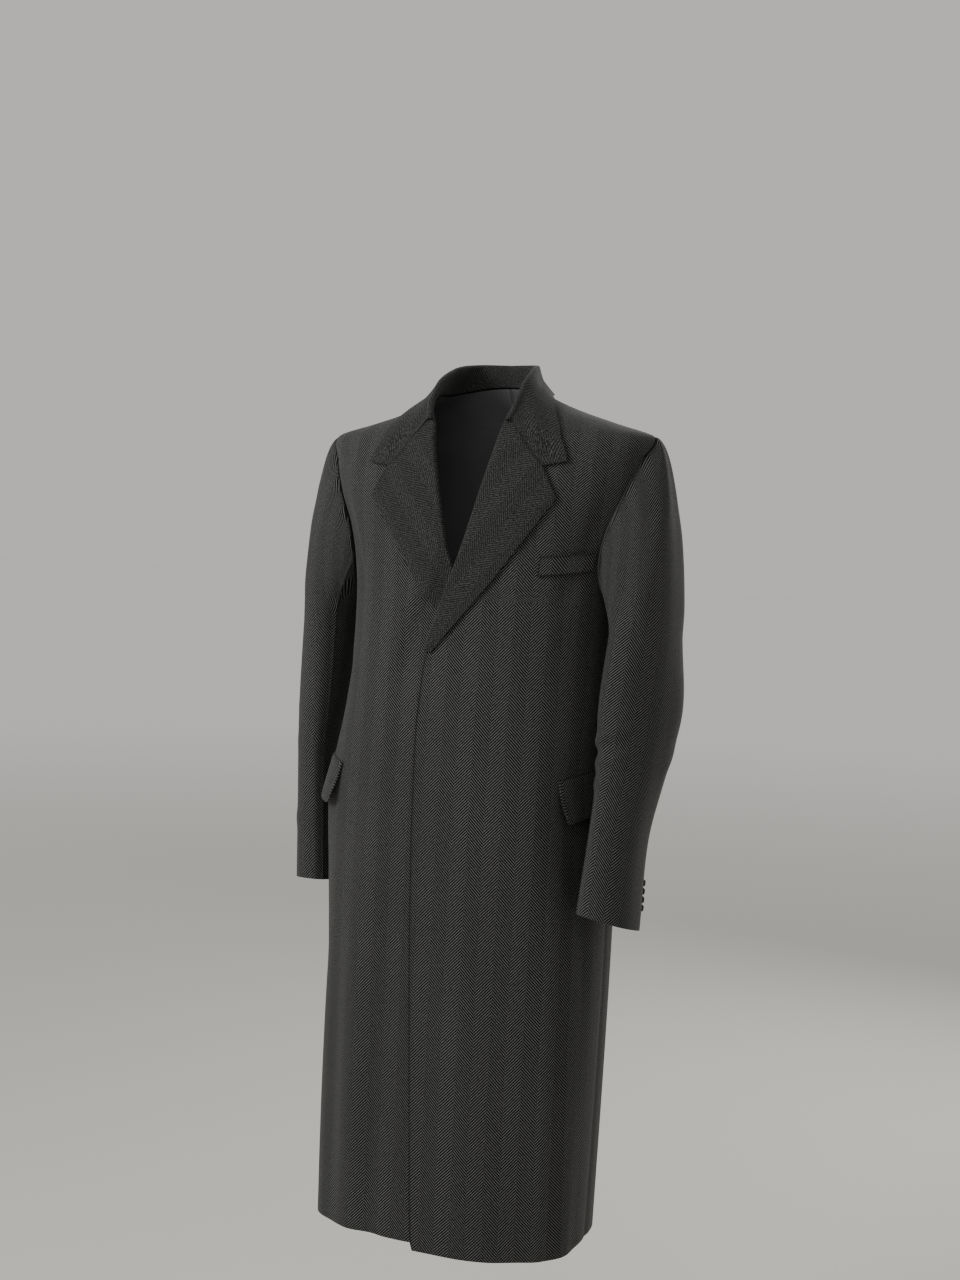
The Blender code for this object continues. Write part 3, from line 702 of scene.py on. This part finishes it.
fronts = {
    "columns": 40,
    "girth": 0.30,
    "leftPaintedSeamShade": (1.4, 0.4, 0.0, 0.8),  # painted shade at the front edge (the overlap's shadow), side, hem, shoulder
    "rightPaintedSeamShade": (0.4, 0.0, 0.0, 0.8),
    "rows": (104, 40, 16),
    "hemDrop": 0.011,  # the left front hangs a little lower
    "hemLowest": 30.0,
    "hemTurn": 1.2,
    "hemFrom": 0.80,
    "sideLift": 0.010,  # how much the hem rises towards the right side seam
    "sideReach": 30.0,
    "sideFrom": 1.0,
    "leftCreases": (
        (-9.0, -0.340, -7.0, -0.430, 0.008, -0.0016),
        (-4.0, -0.345, 12.0, -0.470, 0.013, 0.0016),
        (60.0, -0.110, 47.0, -0.300, 0.017, -0.0034),
        (55.0, -0.240, 38.0, -0.330, 0.014, 0.0016),
        (22.0, -0.600, 27.0, -1.140, 0.024, -0.0030),
        (9.0, -0.700, 12.0, -1.140, 0.020, 0.0022),
        (47.0, -0.640, 50.0, -1.140, 0.022, 0.0034),
        (61.0, -0.560, 72.0, -0.800, 0.014, -0.0022),
        (72.0, -0.350, 90.0, -0.400, 0.013, -0.0020),
        (70.0, -0.390, 90.0, -0.430, 0.012, 0.0014),
    ),
    "rightCreases": (
        (16.0, -0.700, 19.0, -1.140, 0.017, -0.0042),
        (29.0, -0.560, 31.0, -1.140, 0.022, 0.0030),
        (48.0, -0.620, 46.0, -1.140, 0.026, -0.0030),
        (60.0, -0.115, 50.0, -0.290, 0.016, -0.0030),
        (66.0, -0.360, 90.0, -0.395, 0.013, -0.0018),
        (62.0, -0.570, 68.0, -0.820, 0.014, -0.0018),
    ),
}


def hemShift(side, angle, level):
    if side > 0:
        turn = math.radians(fronts["hemTurn"] * (angle - fronts["hemLowest"]))
        return -fronts["hemDrop"] * ease(fronts["hemFrom"], -coat["hem"], -level) * max(math.cos(turn), 0.0)
    near = max(1.0 - abs(angle - 90.0) / fronts["sideReach"], 0.0)
    return fronts["sideLift"] * near ** 2 * ease(fronts["sideFrom"], -coat["hem"], -level)


def frontPanel(side):
    levels = panelLevels(fronts["rows"])
    creases = handed(fronts, "Creases", side)

    def place(across, level):
        edge = angleOf(frontEdgeX(level), level)
        seam = 90.0 - armholeAngle(level) - sideGap(level)
        part = across if side > 0 else 1.0 - across
        angle = edge + (seam - edge) * part
        out = creaseHeight(creases, angle, level, **bodyCrease)
        out += seamDip(math.radians(seam - angle) * bodyCrease["degreeSize"])
        point = onBody(side * angle, level, out)
        point.z += hemShift(side, angle, level)
        if side > 0:
            return point
        return point - bodyNormal(-angle, level) * rightSink(point.x + overlap["lead"], level)

    def grainStart(level):
        return side * frontEdgeX(level)

    node = "front_left" if side > 0 else "front_right"
    steps = closeEnds(fronts["columns"], fronts["girth"])
    first = 0 if side > 0 else len(steps) - 1
    sewn = handed(fronts, "PaintedSeamShade", side)
    laid = layCloth(node + "_cloth", steps, levels, place, grainStart, first, "even", sewn)
    finishCloth(*laid, "hung", node, woolCloth, liningSatin)


backs = {
    "columns": 34,
    "girth": 0.27,
    # painted shade along the side seam, the centre back seam and the shoulder
    "leftPaintedSeamShade": (0.4, 0.8, 0.0, 0.8),
    "rightPaintedSeamShade": (0.8, 0.4, 0.0, 0.8),
    "rows": (104, 40, 16),
    "leftCreases": (
        (120.0, -0.130, 138.0, -0.290, 0.018, -0.0034),
        (108.0, -0.330, 135.0, -0.375, 0.015, -0.0026),
        (112.0, -0.375, 150.0, -0.430, 0.014, 0.0020),
        (168.0, -0.400, 172.0, -0.640, 0.020, -0.0026),
        (128.0, -0.540, 131.0, -1.140, 0.026, 0.0040),
        (163.0, -0.660, 166.0, -1.140, 0.022, -0.0036),
    ),
    "rightCreases": (
        (122.0, -0.120, 140.0, -0.270, 0.017, -0.0030),
        (106.0, -0.345, 140.0, -0.385, 0.016, -0.0024),
        (115.0, -0.400, 146.0, -0.440, 0.013, 0.0018),
        (166.0, -0.430, 169.0, -0.700, 0.022, -0.0024),
        (140.0, -0.580, 138.0, -1.140, 0.026, 0.0036),
        (112.0, -0.620, 115.0, -1.140, 0.022, -0.0030),
    ),
}


def backPanel(side):
    levels = panelLevels(backs["rows"])
    creases = handed(backs, "Creases", side)

    def place(across, level):
        start = 90.0 + armholeAngle(level) + sideGap(level)
        end = 180.0 - angleOf(coat["seam"], level)
        part = across if side > 0 else 1.0 - across
        angle = start + (end - start) * part
        out = creaseHeight(creases, angle, level, **bodyCrease)
        out += seamDip(math.radians(angle - start) * bodyCrease["degreeSize"])
        out += seamDip(math.radians(end - angle) * bodyCrease["degreeSize"])
        point = onBody(side * angle, level, out)
        point.z += hemShift(side, angle, level)
        return point

    node = "back_left" if side > 0 else "back_right"
    steps = closeEnds(backs["columns"], backs["girth"])
    first = len(steps) - 1 if side > 0 else 0
    sewn = handed(backs, "PaintedSeamShade", side)
    laid = layCloth(node + "_cloth", steps, levels, place, lambda level: 0.0, first, "even", sewn)
    finishCloth(*laid, "hung", node, woolCloth, liningSatin)


lapels = {
    "foldColumns": 12,
    "columns": 40,
    "rows": 84,
    "roll": 0.0068,  # height of the rolled edge above the front
    "edge": 0.0042,
    "covered": 0.0041,  # where the left front covers the right lapel
    "wave": 0.0010,  # the outer edge isn't quite straight
    "notch": 5.0 / 7.0,  # where the notch lies along the top edge
    "meet": 0.0026,  # the top edge is sewn to the collar this much higher
    "gorgeStart": (0.0050, 0.12),  # how much its top edge rises beside the roll, and within what part
    "gorgeNotch": 0.0060,  # and from there to the notch
    "gorgePower": 6,
    "rollEnds": (0.004, 0.0010),  # above the break and above the gorge
    "lowRoll": (0.72, 0.18),  # the roll is flatter at its lower end
    "waves": (9.0, 1.0),
    # painted shade along the top edge, where it meets the collar
    "sewn": (0.0, 0.0, 0.0, 0.7),
}


def gorgeRise(part):
    start, within = lapels["gorgeStart"]
    if part <= lapels["notch"]:
        nearRoll = start * ease(0.0, within, part) + lapels["meet"]
        return nearRoll + lapels["gorgeNotch"] * (part / lapels["notch"]) ** 3
    highest = start + lapels["gorgeNotch"] + lapels["meet"]
    return highest * (1.0 - part) / (1.0 - lapels["notch"])


def lapel(side):
    bottom, tip = tables["lapelEdge"][-1], tables["lapelEdge"][0]
    rollBottom = coat["break"] + lapels["rollEnds"][0]
    rollTop = coat["gorge"] + lapels["rollEnds"][1] + lapels["meet"]
    low, lowPart = lapels["lowRoll"]

    def chest(x, level):
        angle = side * angleOf(x, level)
        point = onBody(angle, level)
        normal = bodyNormal(angle, level)
        if side < 0:
            point = point - normal * rightSink(point.x, level)
        return point, normal

    def place(across, up):
        across = across if side > 0 else 1.0 - across
        outerLevel = bottom[0] + (tip[0] - bottom[0]) * up
        rollLevel = rollBottom + (rollTop - rollBottom) * up
        rollX = frontEdgeX(rollLevel)
        outerX = rowAt("lapelEdge", outerLevel)[1]
        start, normal = chest(rollX, rollLevel)
        covered = 0.0 if side > 0 else ease(*overlap["crossing"], rollLevel)
        lift = lapels["roll"] + (lapels["covered"] - lapels["roll"]) * covered
        if side > 0:
            lift *= low + (1.0 - low) * ease(0.0, lowPart, up)
        step = across * lapels["columns"]
        if step <= lapels["foldColumns"]:
            turn = math.pi * step / lapels["foldColumns"]
            radius = 0.5 * (lift + coat["wall"])
            inward = Vector((-side, 0.0, 0.0))
            inward = (inward - normal * inward.dot(normal)).normalized()
            height = lift - radius - radius * math.cos(turn)
            return start + normal * height + inward * (radius * math.sin(turn) + coat["lip"])
        part = (step - lapels["foldColumns"]) / (lapels["columns"] - lapels["foldColumns"])
        level = rollLevel + (outerLevel - rollLevel) * part + gorgeRise(part) * up ** lapels["gorgePower"]
        point, normal = chest(rollX + (outerX - rollX) * part, level)
        high = lift + (lapels["edge"] - lapels["roll"]) * lift / lapels["roll"] * part
        waves, first = lapels["waves"]
        wave = lapels["wave"] * math.sin(waves * up + first) * part * part * (1.0 - covered)
        return point + normal * (high + abs(wave))

    node = "lapel_left" if side > 0 else "lapel_right"
    across = [step / lapels["columns"] for step in range(lapels["columns"] + 1)]
    up = [step / lapels["rows"] for step in range(lapels["rows"] + 1)]
    edge = Vector((side * (tip[1] - bottom[1]), 0.0, tip[0] - bottom[0])).normalized()
    laid = layCloth(node + "_cloth", across, up, place, lambda level: 0.0, 0, edge, lapels["sewn"])
    finishCloth(*laid, "folded", node, facingWool, facingWool)


collarCut = {
    "columns": (10, 12, 14, 12),  # of its stand, its fold, and the two lengths of its fall
    "rows": 176,
    "edge": 0.0050,  # height of its edge above the body
    "fold": 0.0042,  # radius of its fold
    "shoulder": 0.62,  # its place at the shoulder seam
    "front": -0.0300,
    "notchAngle": 25.0,
    "notchLevel": -0.0870,
    "endRise": 0.0022,  # its front ends lie as high as the lapels
    "endParts": (0.16, 0.25),  # how far round the notch and that rise reach
    "seamUp": 0.0008,  # its neck seam, above the neck edge and inside it
    "seamIn": 0.0031,
    "half": 0.55,  # where the fall's two lengths meet
    "drop": -0.012,  # how steeply the fall leaves the fold
    "arrive": 0.4,
    # painted shade at its two front ends
    "sewn": (0.0, 0.0, 0.5, 0.5),
}


def neckSeam(place):
    shoulder = collarCut["shoulder"]
    if place < shoulder:
        level = collarCut["front"] + (coat["neck"] - collarCut["front"]) * place / shoulder
        angle = angleOf(frontEdgeX(level), level)
    else:
        level = coat["neck"]
        start = angleOf(frontEdgeX(level), level)
        angle = start + (180.0 - start) * (place - shoulder) / (1.0 - shoulder)
    seam = onBody(angle, level, -coat["wall"])
    seam.z = onBody(angle, level).z + collarCut["seamUp"]
    return seam - Vector((seam.x, seam.y, 0.0)).normalized() * collarCut["seamIn"]


def collar():
    notch = onBody(collarCut["notchAngle"], collarCut["notchLevel"], collarCut["edge"])
    radius = collarCut["fold"]
    notchPart, risePart = collarCut["endParts"]

    def place(across, up):
        side = 1.0 if up <= 0.5 else -1.0
        row = rowAt("collar", 1.0 - abs(2.0 * up - 1.0))
        spot, foldX, foldY, foldZ, edgeAngle, edgeLevel, bulge = row
        seam = neckSeam(spot)
        fold = Vector((foldX, foldY, foldZ))
        edge = onBody(edgeAngle, edgeLevel, collarCut["edge"])
        middle = fold.lerp(edge, collarCut["half"]) + bodyNormal(edgeAngle, edgeLevel) * bulge
        middle = notch.lerp(middle, ease(0.0, notchPart, spot))
        rise = (fold - seam).normalized()
        over = Vector((middle.x - fold.x, middle.y - fold.y, 0.0)).normalized()
        over = (over - rise * over.dot(rise)).normalized()
        top = fold - rise * radius
        length, part = divmod(across, 1.0)
        if length == 0.0:
            point = seam.lerp(top, part)
        elif length == 1.0:
            turn = math.pi * part
            point = top + (over * (1.0 - math.cos(turn)) + rise * math.sin(turn)) * radius
        elif length == 2.0:
            leave, arrive = rise * collarCut["drop"], (edge - fold) * collarCut["arrive"]
            point = bend(top + over * 2.0 * radius, leave, middle, arrive, part)
            lift = collarCut["endRise"] * math.sin(math.pi * part) * (1.0 - ease(0.0, risePart, spot))
            point += bodyNormal(edgeAngle, edgeLevel) * lift
        else:
            point = middle.lerp(edge, across - 3.0)
        return Vector((side * point.x, point.y, point.z))

    across = []
    for length, count in enumerate(collarCut["columns"]):
        across += [length + step / count for step in range(count)]
    across.append(float(len(collarCut["columns"])))
    up = [step / collarCut["rows"] for step in range(collarCut["rows"] + 1)]
    last, sewn = len(across) - 1, collarCut["sewn"]
    laid = layCloth("collar_cloth", across, up, place, lambda level: 0.0, last, "even", sewn)
    finishCloth(*laid, "folded", "collar", facingWool, facingWool)


flaps = {
    "columns": 40,
    "rows": 22,
    "angles": (50.5, 93.0),
    "top": -0.490,  # at its front end
    "tilt": 0.015,  # its back end sits this much higher
    "leftLean": 4.0,  # its lower edge lies this much further back, in degrees
    "rightLean": 1.5,
    "depth": 0.058,
    "corner": 0.012,
    "leftFlare": (0.011, 0.0),  # how far the lower edge stands off, in front and behind
    "rightFlare": (0.010, 0.002),
    "flarePower": 1.5,
    "reach": 0.175,  # the body's radius there
    "length": 0.13,
    "sink": 0.0022,  # its sewn edge is drawn in
    "sinkFrom": 0.90,
    # painted shade along its top edge
    "sewn": (0.0, 0.0, 0.0, 1.0),
}


def flap(side):
    frontFlare, backFlare = handed(flaps, "Flare", side)
    lean = handed(flaps, "Lean", side)
    startAngle, endAngle = flaps["angles"]
    corner = flaps["corner"]

    def place(across, up):
        part = across if side > 0 else 1.0 - across
        length = math.radians(endAngle - startAngle) * flaps["reach"]
        fromEnd = min(part, 1.0 - part) * length
        short = corner - math.sqrt(max(corner ** 2 - max(corner - fromEnd, 0.0) ** 2, 0.0))
        level = flaps["top"] + flaps["tilt"] * part - (flaps["depth"] - short) * (1.0 - up)
        angle = startAngle + (endAngle - startAngle) * part + lean * (1.0 - up)
        standOff = (frontFlare + (backFlare - frontFlare) * part) * (1.0 - up) ** flaps["flarePower"]
        sink = flaps["sink"] * ease(flaps["sinkFrom"], 1.0, up)
        return onBody(side * angle, level, coat["wall"] + coat["layer"] + standOff - sink)

    def grainStart(up):
        return side * math.radians(startAngle) * bodyCrease["degreeSize"]

    node = "flap_left" if side > 0 else "flap_right"
    across = closeEnds(flaps["columns"], flaps["length"])
    up = closeEnds(flaps["rows"], flaps["depth"])
    first = 0 if side > 0 else len(across) - 1
    laid = layCloth(node + "_cloth", across, up, place, grainStart, first, "hung", flaps["sewn"])
    finishCloth(*laid, "hung", node, woolCloth, liningSatin)


welt = {
    "columns": 26,
    "rows": 10,
    "frontX": 0.112,
    "backAngle": 61.5,
    "top": -0.203,
    "height": 0.025,
    "rise": 0.008,
    "length": 0.11,
    # painted shade round all four edges
    "sewn": (0.9, 0.9, 0.8, 1.0),
}


def breastWelt():
    start = angleOf(welt["frontX"], welt["top"])

    def place(across, up):
        level = welt["top"] - welt["height"] * (1.0 - up) + welt["rise"] * across
        return onBody(start + (welt["backAngle"] - start) * across, level, coat["wall"] + coat["layer"])

    across = closeEnds(welt["columns"], welt["length"])
    up = closeEnds(welt["rows"], welt["height"])
    sewn = welt["sewn"]
    laid = layCloth("breast_welt_cloth", across, up, place, lambda level: welt["frontX"], 0, "hung", sewn)
    finishCloth(*laid, "laid", "breast_welt", woolCloth, liningSatin)


sleeves = {
    "topColumns": 44,
    "underColumns": 38,
    "rows": 120,
    "square": 2.3,
    "hindSeam": -52.0,  # round the sleeve: 0 is outward, 90 forward
    "foreSeam": 128.0,
    "gap": -0.10,  # its halves overlap this much at these seams, in degrees
    "capPart": 0.40,
    "capOut": (0.008, 0.062, 1.3),  # how the cap leaves the armhole: least, added at the top, power
    "capForward": -0.030,
    "capUp": (-0.030, 0.050, 2),
    "capArrive": 1.15,
    "underEase": 0.0015,
    "seamEase": 0.05,
    "girth": 0.20,
    # painted shade along both seams and the armhole
    "sewn": (0.5, 0.5, 0.0, 1.0),
    "size": {"degreeSize": 0.058, "upSize": 0.63},
    "leftCreases": (  # degrees round the sleeve, and the part of the way down it
        (62.0, 0.600, 150.0, 0.650, 0.010, -0.0034),
        (48.0, 0.660, 150.0, 0.690, 0.010, -0.0030),
        (70.0, 0.630, 160.0, 0.670, 0.008, 0.0020),
        (70.0, 0.720, 150.0, 0.730, 0.009, -0.0022),
        (-60.0, 0.640, 10.0, 0.690, 0.014, -0.0020),
        (30.0, 0.160, 66.0, 0.360, 0.016, -0.0030),
        (-34.0, 0.180, -12.0, 0.420, 0.018, -0.0026),
        (100.0, 0.300, 60.0, 0.440, 0.014, 0.0022),
        (-100.0, 0.600, -60.0, 0.660, 0.013, -0.0026),
        (30.0, 0.880, 110.0, 0.905, 0.012, -0.0014),
        (180.0, 0.600, 210.0, 0.650, 0.012, -0.0026),
    ),
    "rightCreases": (
        (50.0, 0.610, 140.0, 0.640, 0.011, -0.0028),
        (40.0, 0.690, 130.0, 0.700, 0.010, -0.0022),
        (-50.0, 0.620, 10.0, 0.660, 0.014, -0.0018),
        (30.0, 0.180, 60.0, 0.380, 0.016, -0.0026),
        (-40.0, 0.200, -16.0, 0.440, 0.018, -0.0024),
        (20.0, 0.860, 90.0, 0.880, 0.012, -0.0014),
        (170.0, 0.600, 214.0, 0.630, 0.012, -0.0024),
    ),
}


def armholePoint(around):
    part = 0.5 * (1.0 + math.cos(math.radians(around)))
    level = coat["underarm"] + (coat["shoulder"] - coat["underarm"]) * part
    scoop = armholeAngle(level)
    return onBody(90.0 - scoop if math.sin(math.radians(around)) >= 0.0 else 90.0 + scoop, level)


def armRing(row, around):
    level, x, y, out, inward, front, back, slope, turn, tilt = row
    power = 2.0 / sleeves["square"]
    cosine = math.cos(math.radians(around))
    sine = math.sin(math.radians(around))
    cosine = math.copysign(abs(cosine) ** power, cosine)
    sine = math.copysign(abs(sine) ** power, sine)
    outward = (out if cosine > 0.0 else inward) * cosine
    forward = (front if sine > 0.0 else back) * sine
    return Vector((x + outward - turn * forward, y - forward, level + slope * forward - tilt * outward))


def sleevePoint(arm, around, down):
    top, cuff = tables[arm][0], tables[arm][-1]
    if down >= sleeves["capPart"]:
        part = (down - sleeves["capPart"]) / (1.0 - sleeves["capPart"])
        return armRing(rowAt(arm, top[0] + (cuff[0] - top[0]) * part), around)
    high = 0.5 * (1.0 + math.cos(math.radians(around)))
    sine = math.sin(math.radians(around))
    outLeast, outMore, outPower = sleeves["capOut"]
    upLeast, upMore, upPower = sleeves["capUp"]
    leave = Vector((outLeast + outMore * high ** outPower, sleeves["capForward"] * sine,
                    upLeast + upMore * high ** upPower))
    start = armholePoint(around) + leave.normalized() * coat["seam"] * 2.0
    start.x += sleeves["underEase"] * (1.0 - high) ** 2
    end = armRing(top, around)
    arrive = Vector((0.0, 0.0, (end.z - start.z) * sleeves["capArrive"]))
    return bend(start, leave, end, arrive, down / sleeves["capPart"])


def sleeveNormal(arm, around, down):
    climb, turn = 0.006, 2.0
    low, high = max(down - climb, 0.0), min(down + climb, 1.0)
    along = sleevePoint(arm, around, high) - sleevePoint(arm, around, low)
    across = sleevePoint(arm, around + turn, down) - sleevePoint(arm, around - turn, down)
    return along.cross(across).normalized()


def sleeve(side, layer):
    arm = "leftArm" if side > 0 else "rightArm"
    creases = handed(sleeves, "Creases", side)
    hind, fore = sleeves["hindSeam"], sleeves["foreSeam"]
    start, end = (hind, fore) if layer == "top" else (fore, hind + 360.0)
    start, end = start + sleeves["gap"], end - sleeves["gap"]
    size = sleeves["size"]

    def place(across, up):
        part = 1.0 - across if side > 0 else across
        around = start + (end - start) * part
        down = 1.0 - up
        out = creaseHeight(creases, around, down, **size)
        out += seamDip(math.radians(around - start) * size["degreeSize"])
        out += seamDip(math.radians(end - around) * size["degreeSize"])
        out *= ease(0.0, sleeves["seamEase"], down)
        point = sleevePoint(arm, around, down) + sleeveNormal(arm, around, down) * out
        return Vector((side * point.x, point.y, point.z))

    node = "sleeve_" + ("left_" if side > 0 else "right_") + layer
    across = closeEnds(sleeves["topColumns" if layer == "top" else "underColumns"], sleeves["girth"])
    up = closeEnds(sleeves["rows"], size["upSize"])
    middle, sewn = len(across) // 2, sleeves["sewn"]
    laid = layCloth(node + "_cloth", across, up, place, lambda level: 0.0, middle, "hung", sewn)
    finishCloth(*laid, "hung", node, woolCloth, liningSatin)


for side in (1, -1):
    frontPanel(side)
    backPanel(side)
    lapel(side)
    flap(side)
    sleeve(side, "top")
    sleeve(side, "under")
collar()
breastWelt()
print("cloth pieces laid")


# a dished horn button with a raised rim, turned from its profile, and its thread
cuffButton = {
    "radius": 0.0046,
    "height": 0.0032,
    "steps": 40,
    "profile": (  # radius and height, as parts of the two above
        (0.00, 0.10), (0.80, 0.10), (0.97, 0.30), (1.00, 0.55), (0.97, 0.82), (0.90, 0.97),
        (0.82, 1.00), (0.74, 0.93), (0.66, 0.80), (0.40, 0.72), (0.00, 0.70),
    ),
    "weld": 0.00002,
    "tuft": 0.14,  # radius of a thread tuft, as a part of the button's
    "tuftSegments": (12, 8),
    "tuftStretch": (2.6, 0.75, 0.8, 1.0),
    "tuftLift": 0.24,
    "tuftTurns": (45.0, 135.0),
}


def buttonSeat(node):
    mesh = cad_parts[node].data
    middle = sum((vert.co for vert in mesh.vertices), Vector()) / len(mesh.vertices)
    widest = max(mesh.polygons, key=lambda face: face.area)
    normal = widest.normal.copy()
    return middle, normal if normal.x * middle.x > 0.0 else -normal


def turnButton(node):
    middle, normal = buttonSeat(node)
    radius, height = cuffButton["radius"], cuffButton["height"]
    disc = bmesh.new()
    ring = [disc.verts.new((radius * out, 0.0, height * (up - 0.5))) for out, up in cuffButton["profile"]]
    edges = [disc.edges.new(pair) for pair in zip(ring, ring[1:])]
    bmesh.ops.spin(disc, geom=ring + edges, cent=(0.0, 0.0, 0.0), axis=(0.0, 0.0, 1.0), angle=2.0 * math.pi,
                   steps=cuffButton["steps"], use_merge=True)
    bmesh.ops.remove_doubles(disc, verts=disc.verts, dist=cuffButton["weld"])
    bmesh.ops.recalc_face_normals(disc, faces=disc.faces)
    for face in disc.faces:
        face.smooth = True
    plain = len(disc.faces)
    around, upward = cuffButton["tuftSegments"]
    for turn in cuffButton["tuftTurns"]:
        tuft = bmesh.ops.create_uvsphere(disc, u_segments=around, v_segments=upward,
                                         radius=radius * cuffButton["tuft"])
        stretch = Matrix.Diagonal(cuffButton["tuftStretch"])
        lift = Matrix.Translation((0.0, 0.0, height * cuffButton["tuftLift"]))
        swing = Matrix.Rotation(math.radians(turn), 4, "Z")
        bmesh.ops.transform(disc, matrix=lift @ swing @ stretch, verts=tuft["verts"])
    disc.faces.ensure_lookup_table()
    for face in disc.faces[plain:]:
        face.material_index = 1
        face.smooth = True
    seat = Matrix.Translation(middle) @ normal.to_track_quat("Z", "Y").to_matrix().to_4x4()
    bmesh.ops.transform(disc, matrix=seat, verts=disc.verts)
    mesh = bpy.data.meshes.new(node + "_horn")
    disc.to_mesh(mesh)
    disc.free()
    mesh.materials.append(darkHorn)
    mesh.materials.append(darkThread)
    piece = addPiece(node + "_horn", mesh)
    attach(piece, "root")
    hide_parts(node)


for side in ("left", "right"):
    for count in range(1, 5):
        turnButton(f"cuff_button_{side}_{count}")
print("cuff buttons turned")


studio = {
    "floorLevel": -1.62,
    "floorSize": 60.0,
    "floorNear": (0.600, 0.585, 0.550, 1.0),
    "floorFar": (0.985, 0.985, 0.985, 1.0),  # so that no line shows where the floor ends
    "fade": (2.5, 11.0),
    "world": (0.93, 0.915, 0.88, 1.0),
    "worldStrength": 0.62,
    "lights": (  # place, aim, size, power
        ("keyLight", (-1.5, -2.0, 0.95), (0.0, 0.0, -0.15), 1.3, 66.0),
        ("fillLight", (0.4, -2.8, 0.5), (0.0, 0.0, -0.20), 1.8, 15.0),
        ("backLight", (0.6, 3.0, 0.7), (0.0, 0.0, -0.50), 2.2, 48.0),
    ),
}


def makeStudio():
    material, wire, shader = startMaterial("paleFloor")
    place = wire.node("ShaderNodeTexCoord", {}, {}, "Object")
    cloud = noiseOn(wire, place, 1.4, 3.0)
    away = wire.node("ShaderNodeVectorMath", {"operation": "LENGTH"}, {0: place}, "Value")
    joinSockets(wire, shader, {
        "Base Color": away.ramp(*studio["fade"]).blend(studio["floorNear"], studio["floorFar"]),
        "Roughness": 0.86 + cloud * 0.1,
    })
    ground = bmesh.new()
    bmesh.ops.create_grid(ground, x_segments=1, y_segments=1, size=0.5 * studio["floorSize"])
    bmesh.ops.translate(ground, verts=ground.verts, vec=(0.0, 0.0, studio["floorLevel"]))
    mesh = bpy.data.meshes.new("floor")
    ground.to_mesh(mesh)
    ground.free()
    mesh.materials.append(material)
    addPiece("floor", mesh)
    world = bpy.data.worlds.new("paleStudio")
    world.use_nodes = True
    sky = world.node_tree.nodes["Background"]
    sky.inputs["Color"].default_value = studio["world"]
    sky.inputs["Strength"].default_value = studio["worldStrength"]
    bpy.context.scene.world = world
    for name, spot, aim, size, power in studio["lights"]:
        light = bpy.data.lights.new(name, "AREA")
        light.shape = "DISK"
        light.size = size
        light.energy = power
        lamp = bpy.data.objects.new(name, light)
        lamp.location = spot
        lamp.rotation_euler = (Vector(aim) - Vector(spot)).to_track_quat("-Z", "Y").to_euler()
        bpy.context.scene.collection.objects.link(lamp)


makeStudio()
print("studio lit")
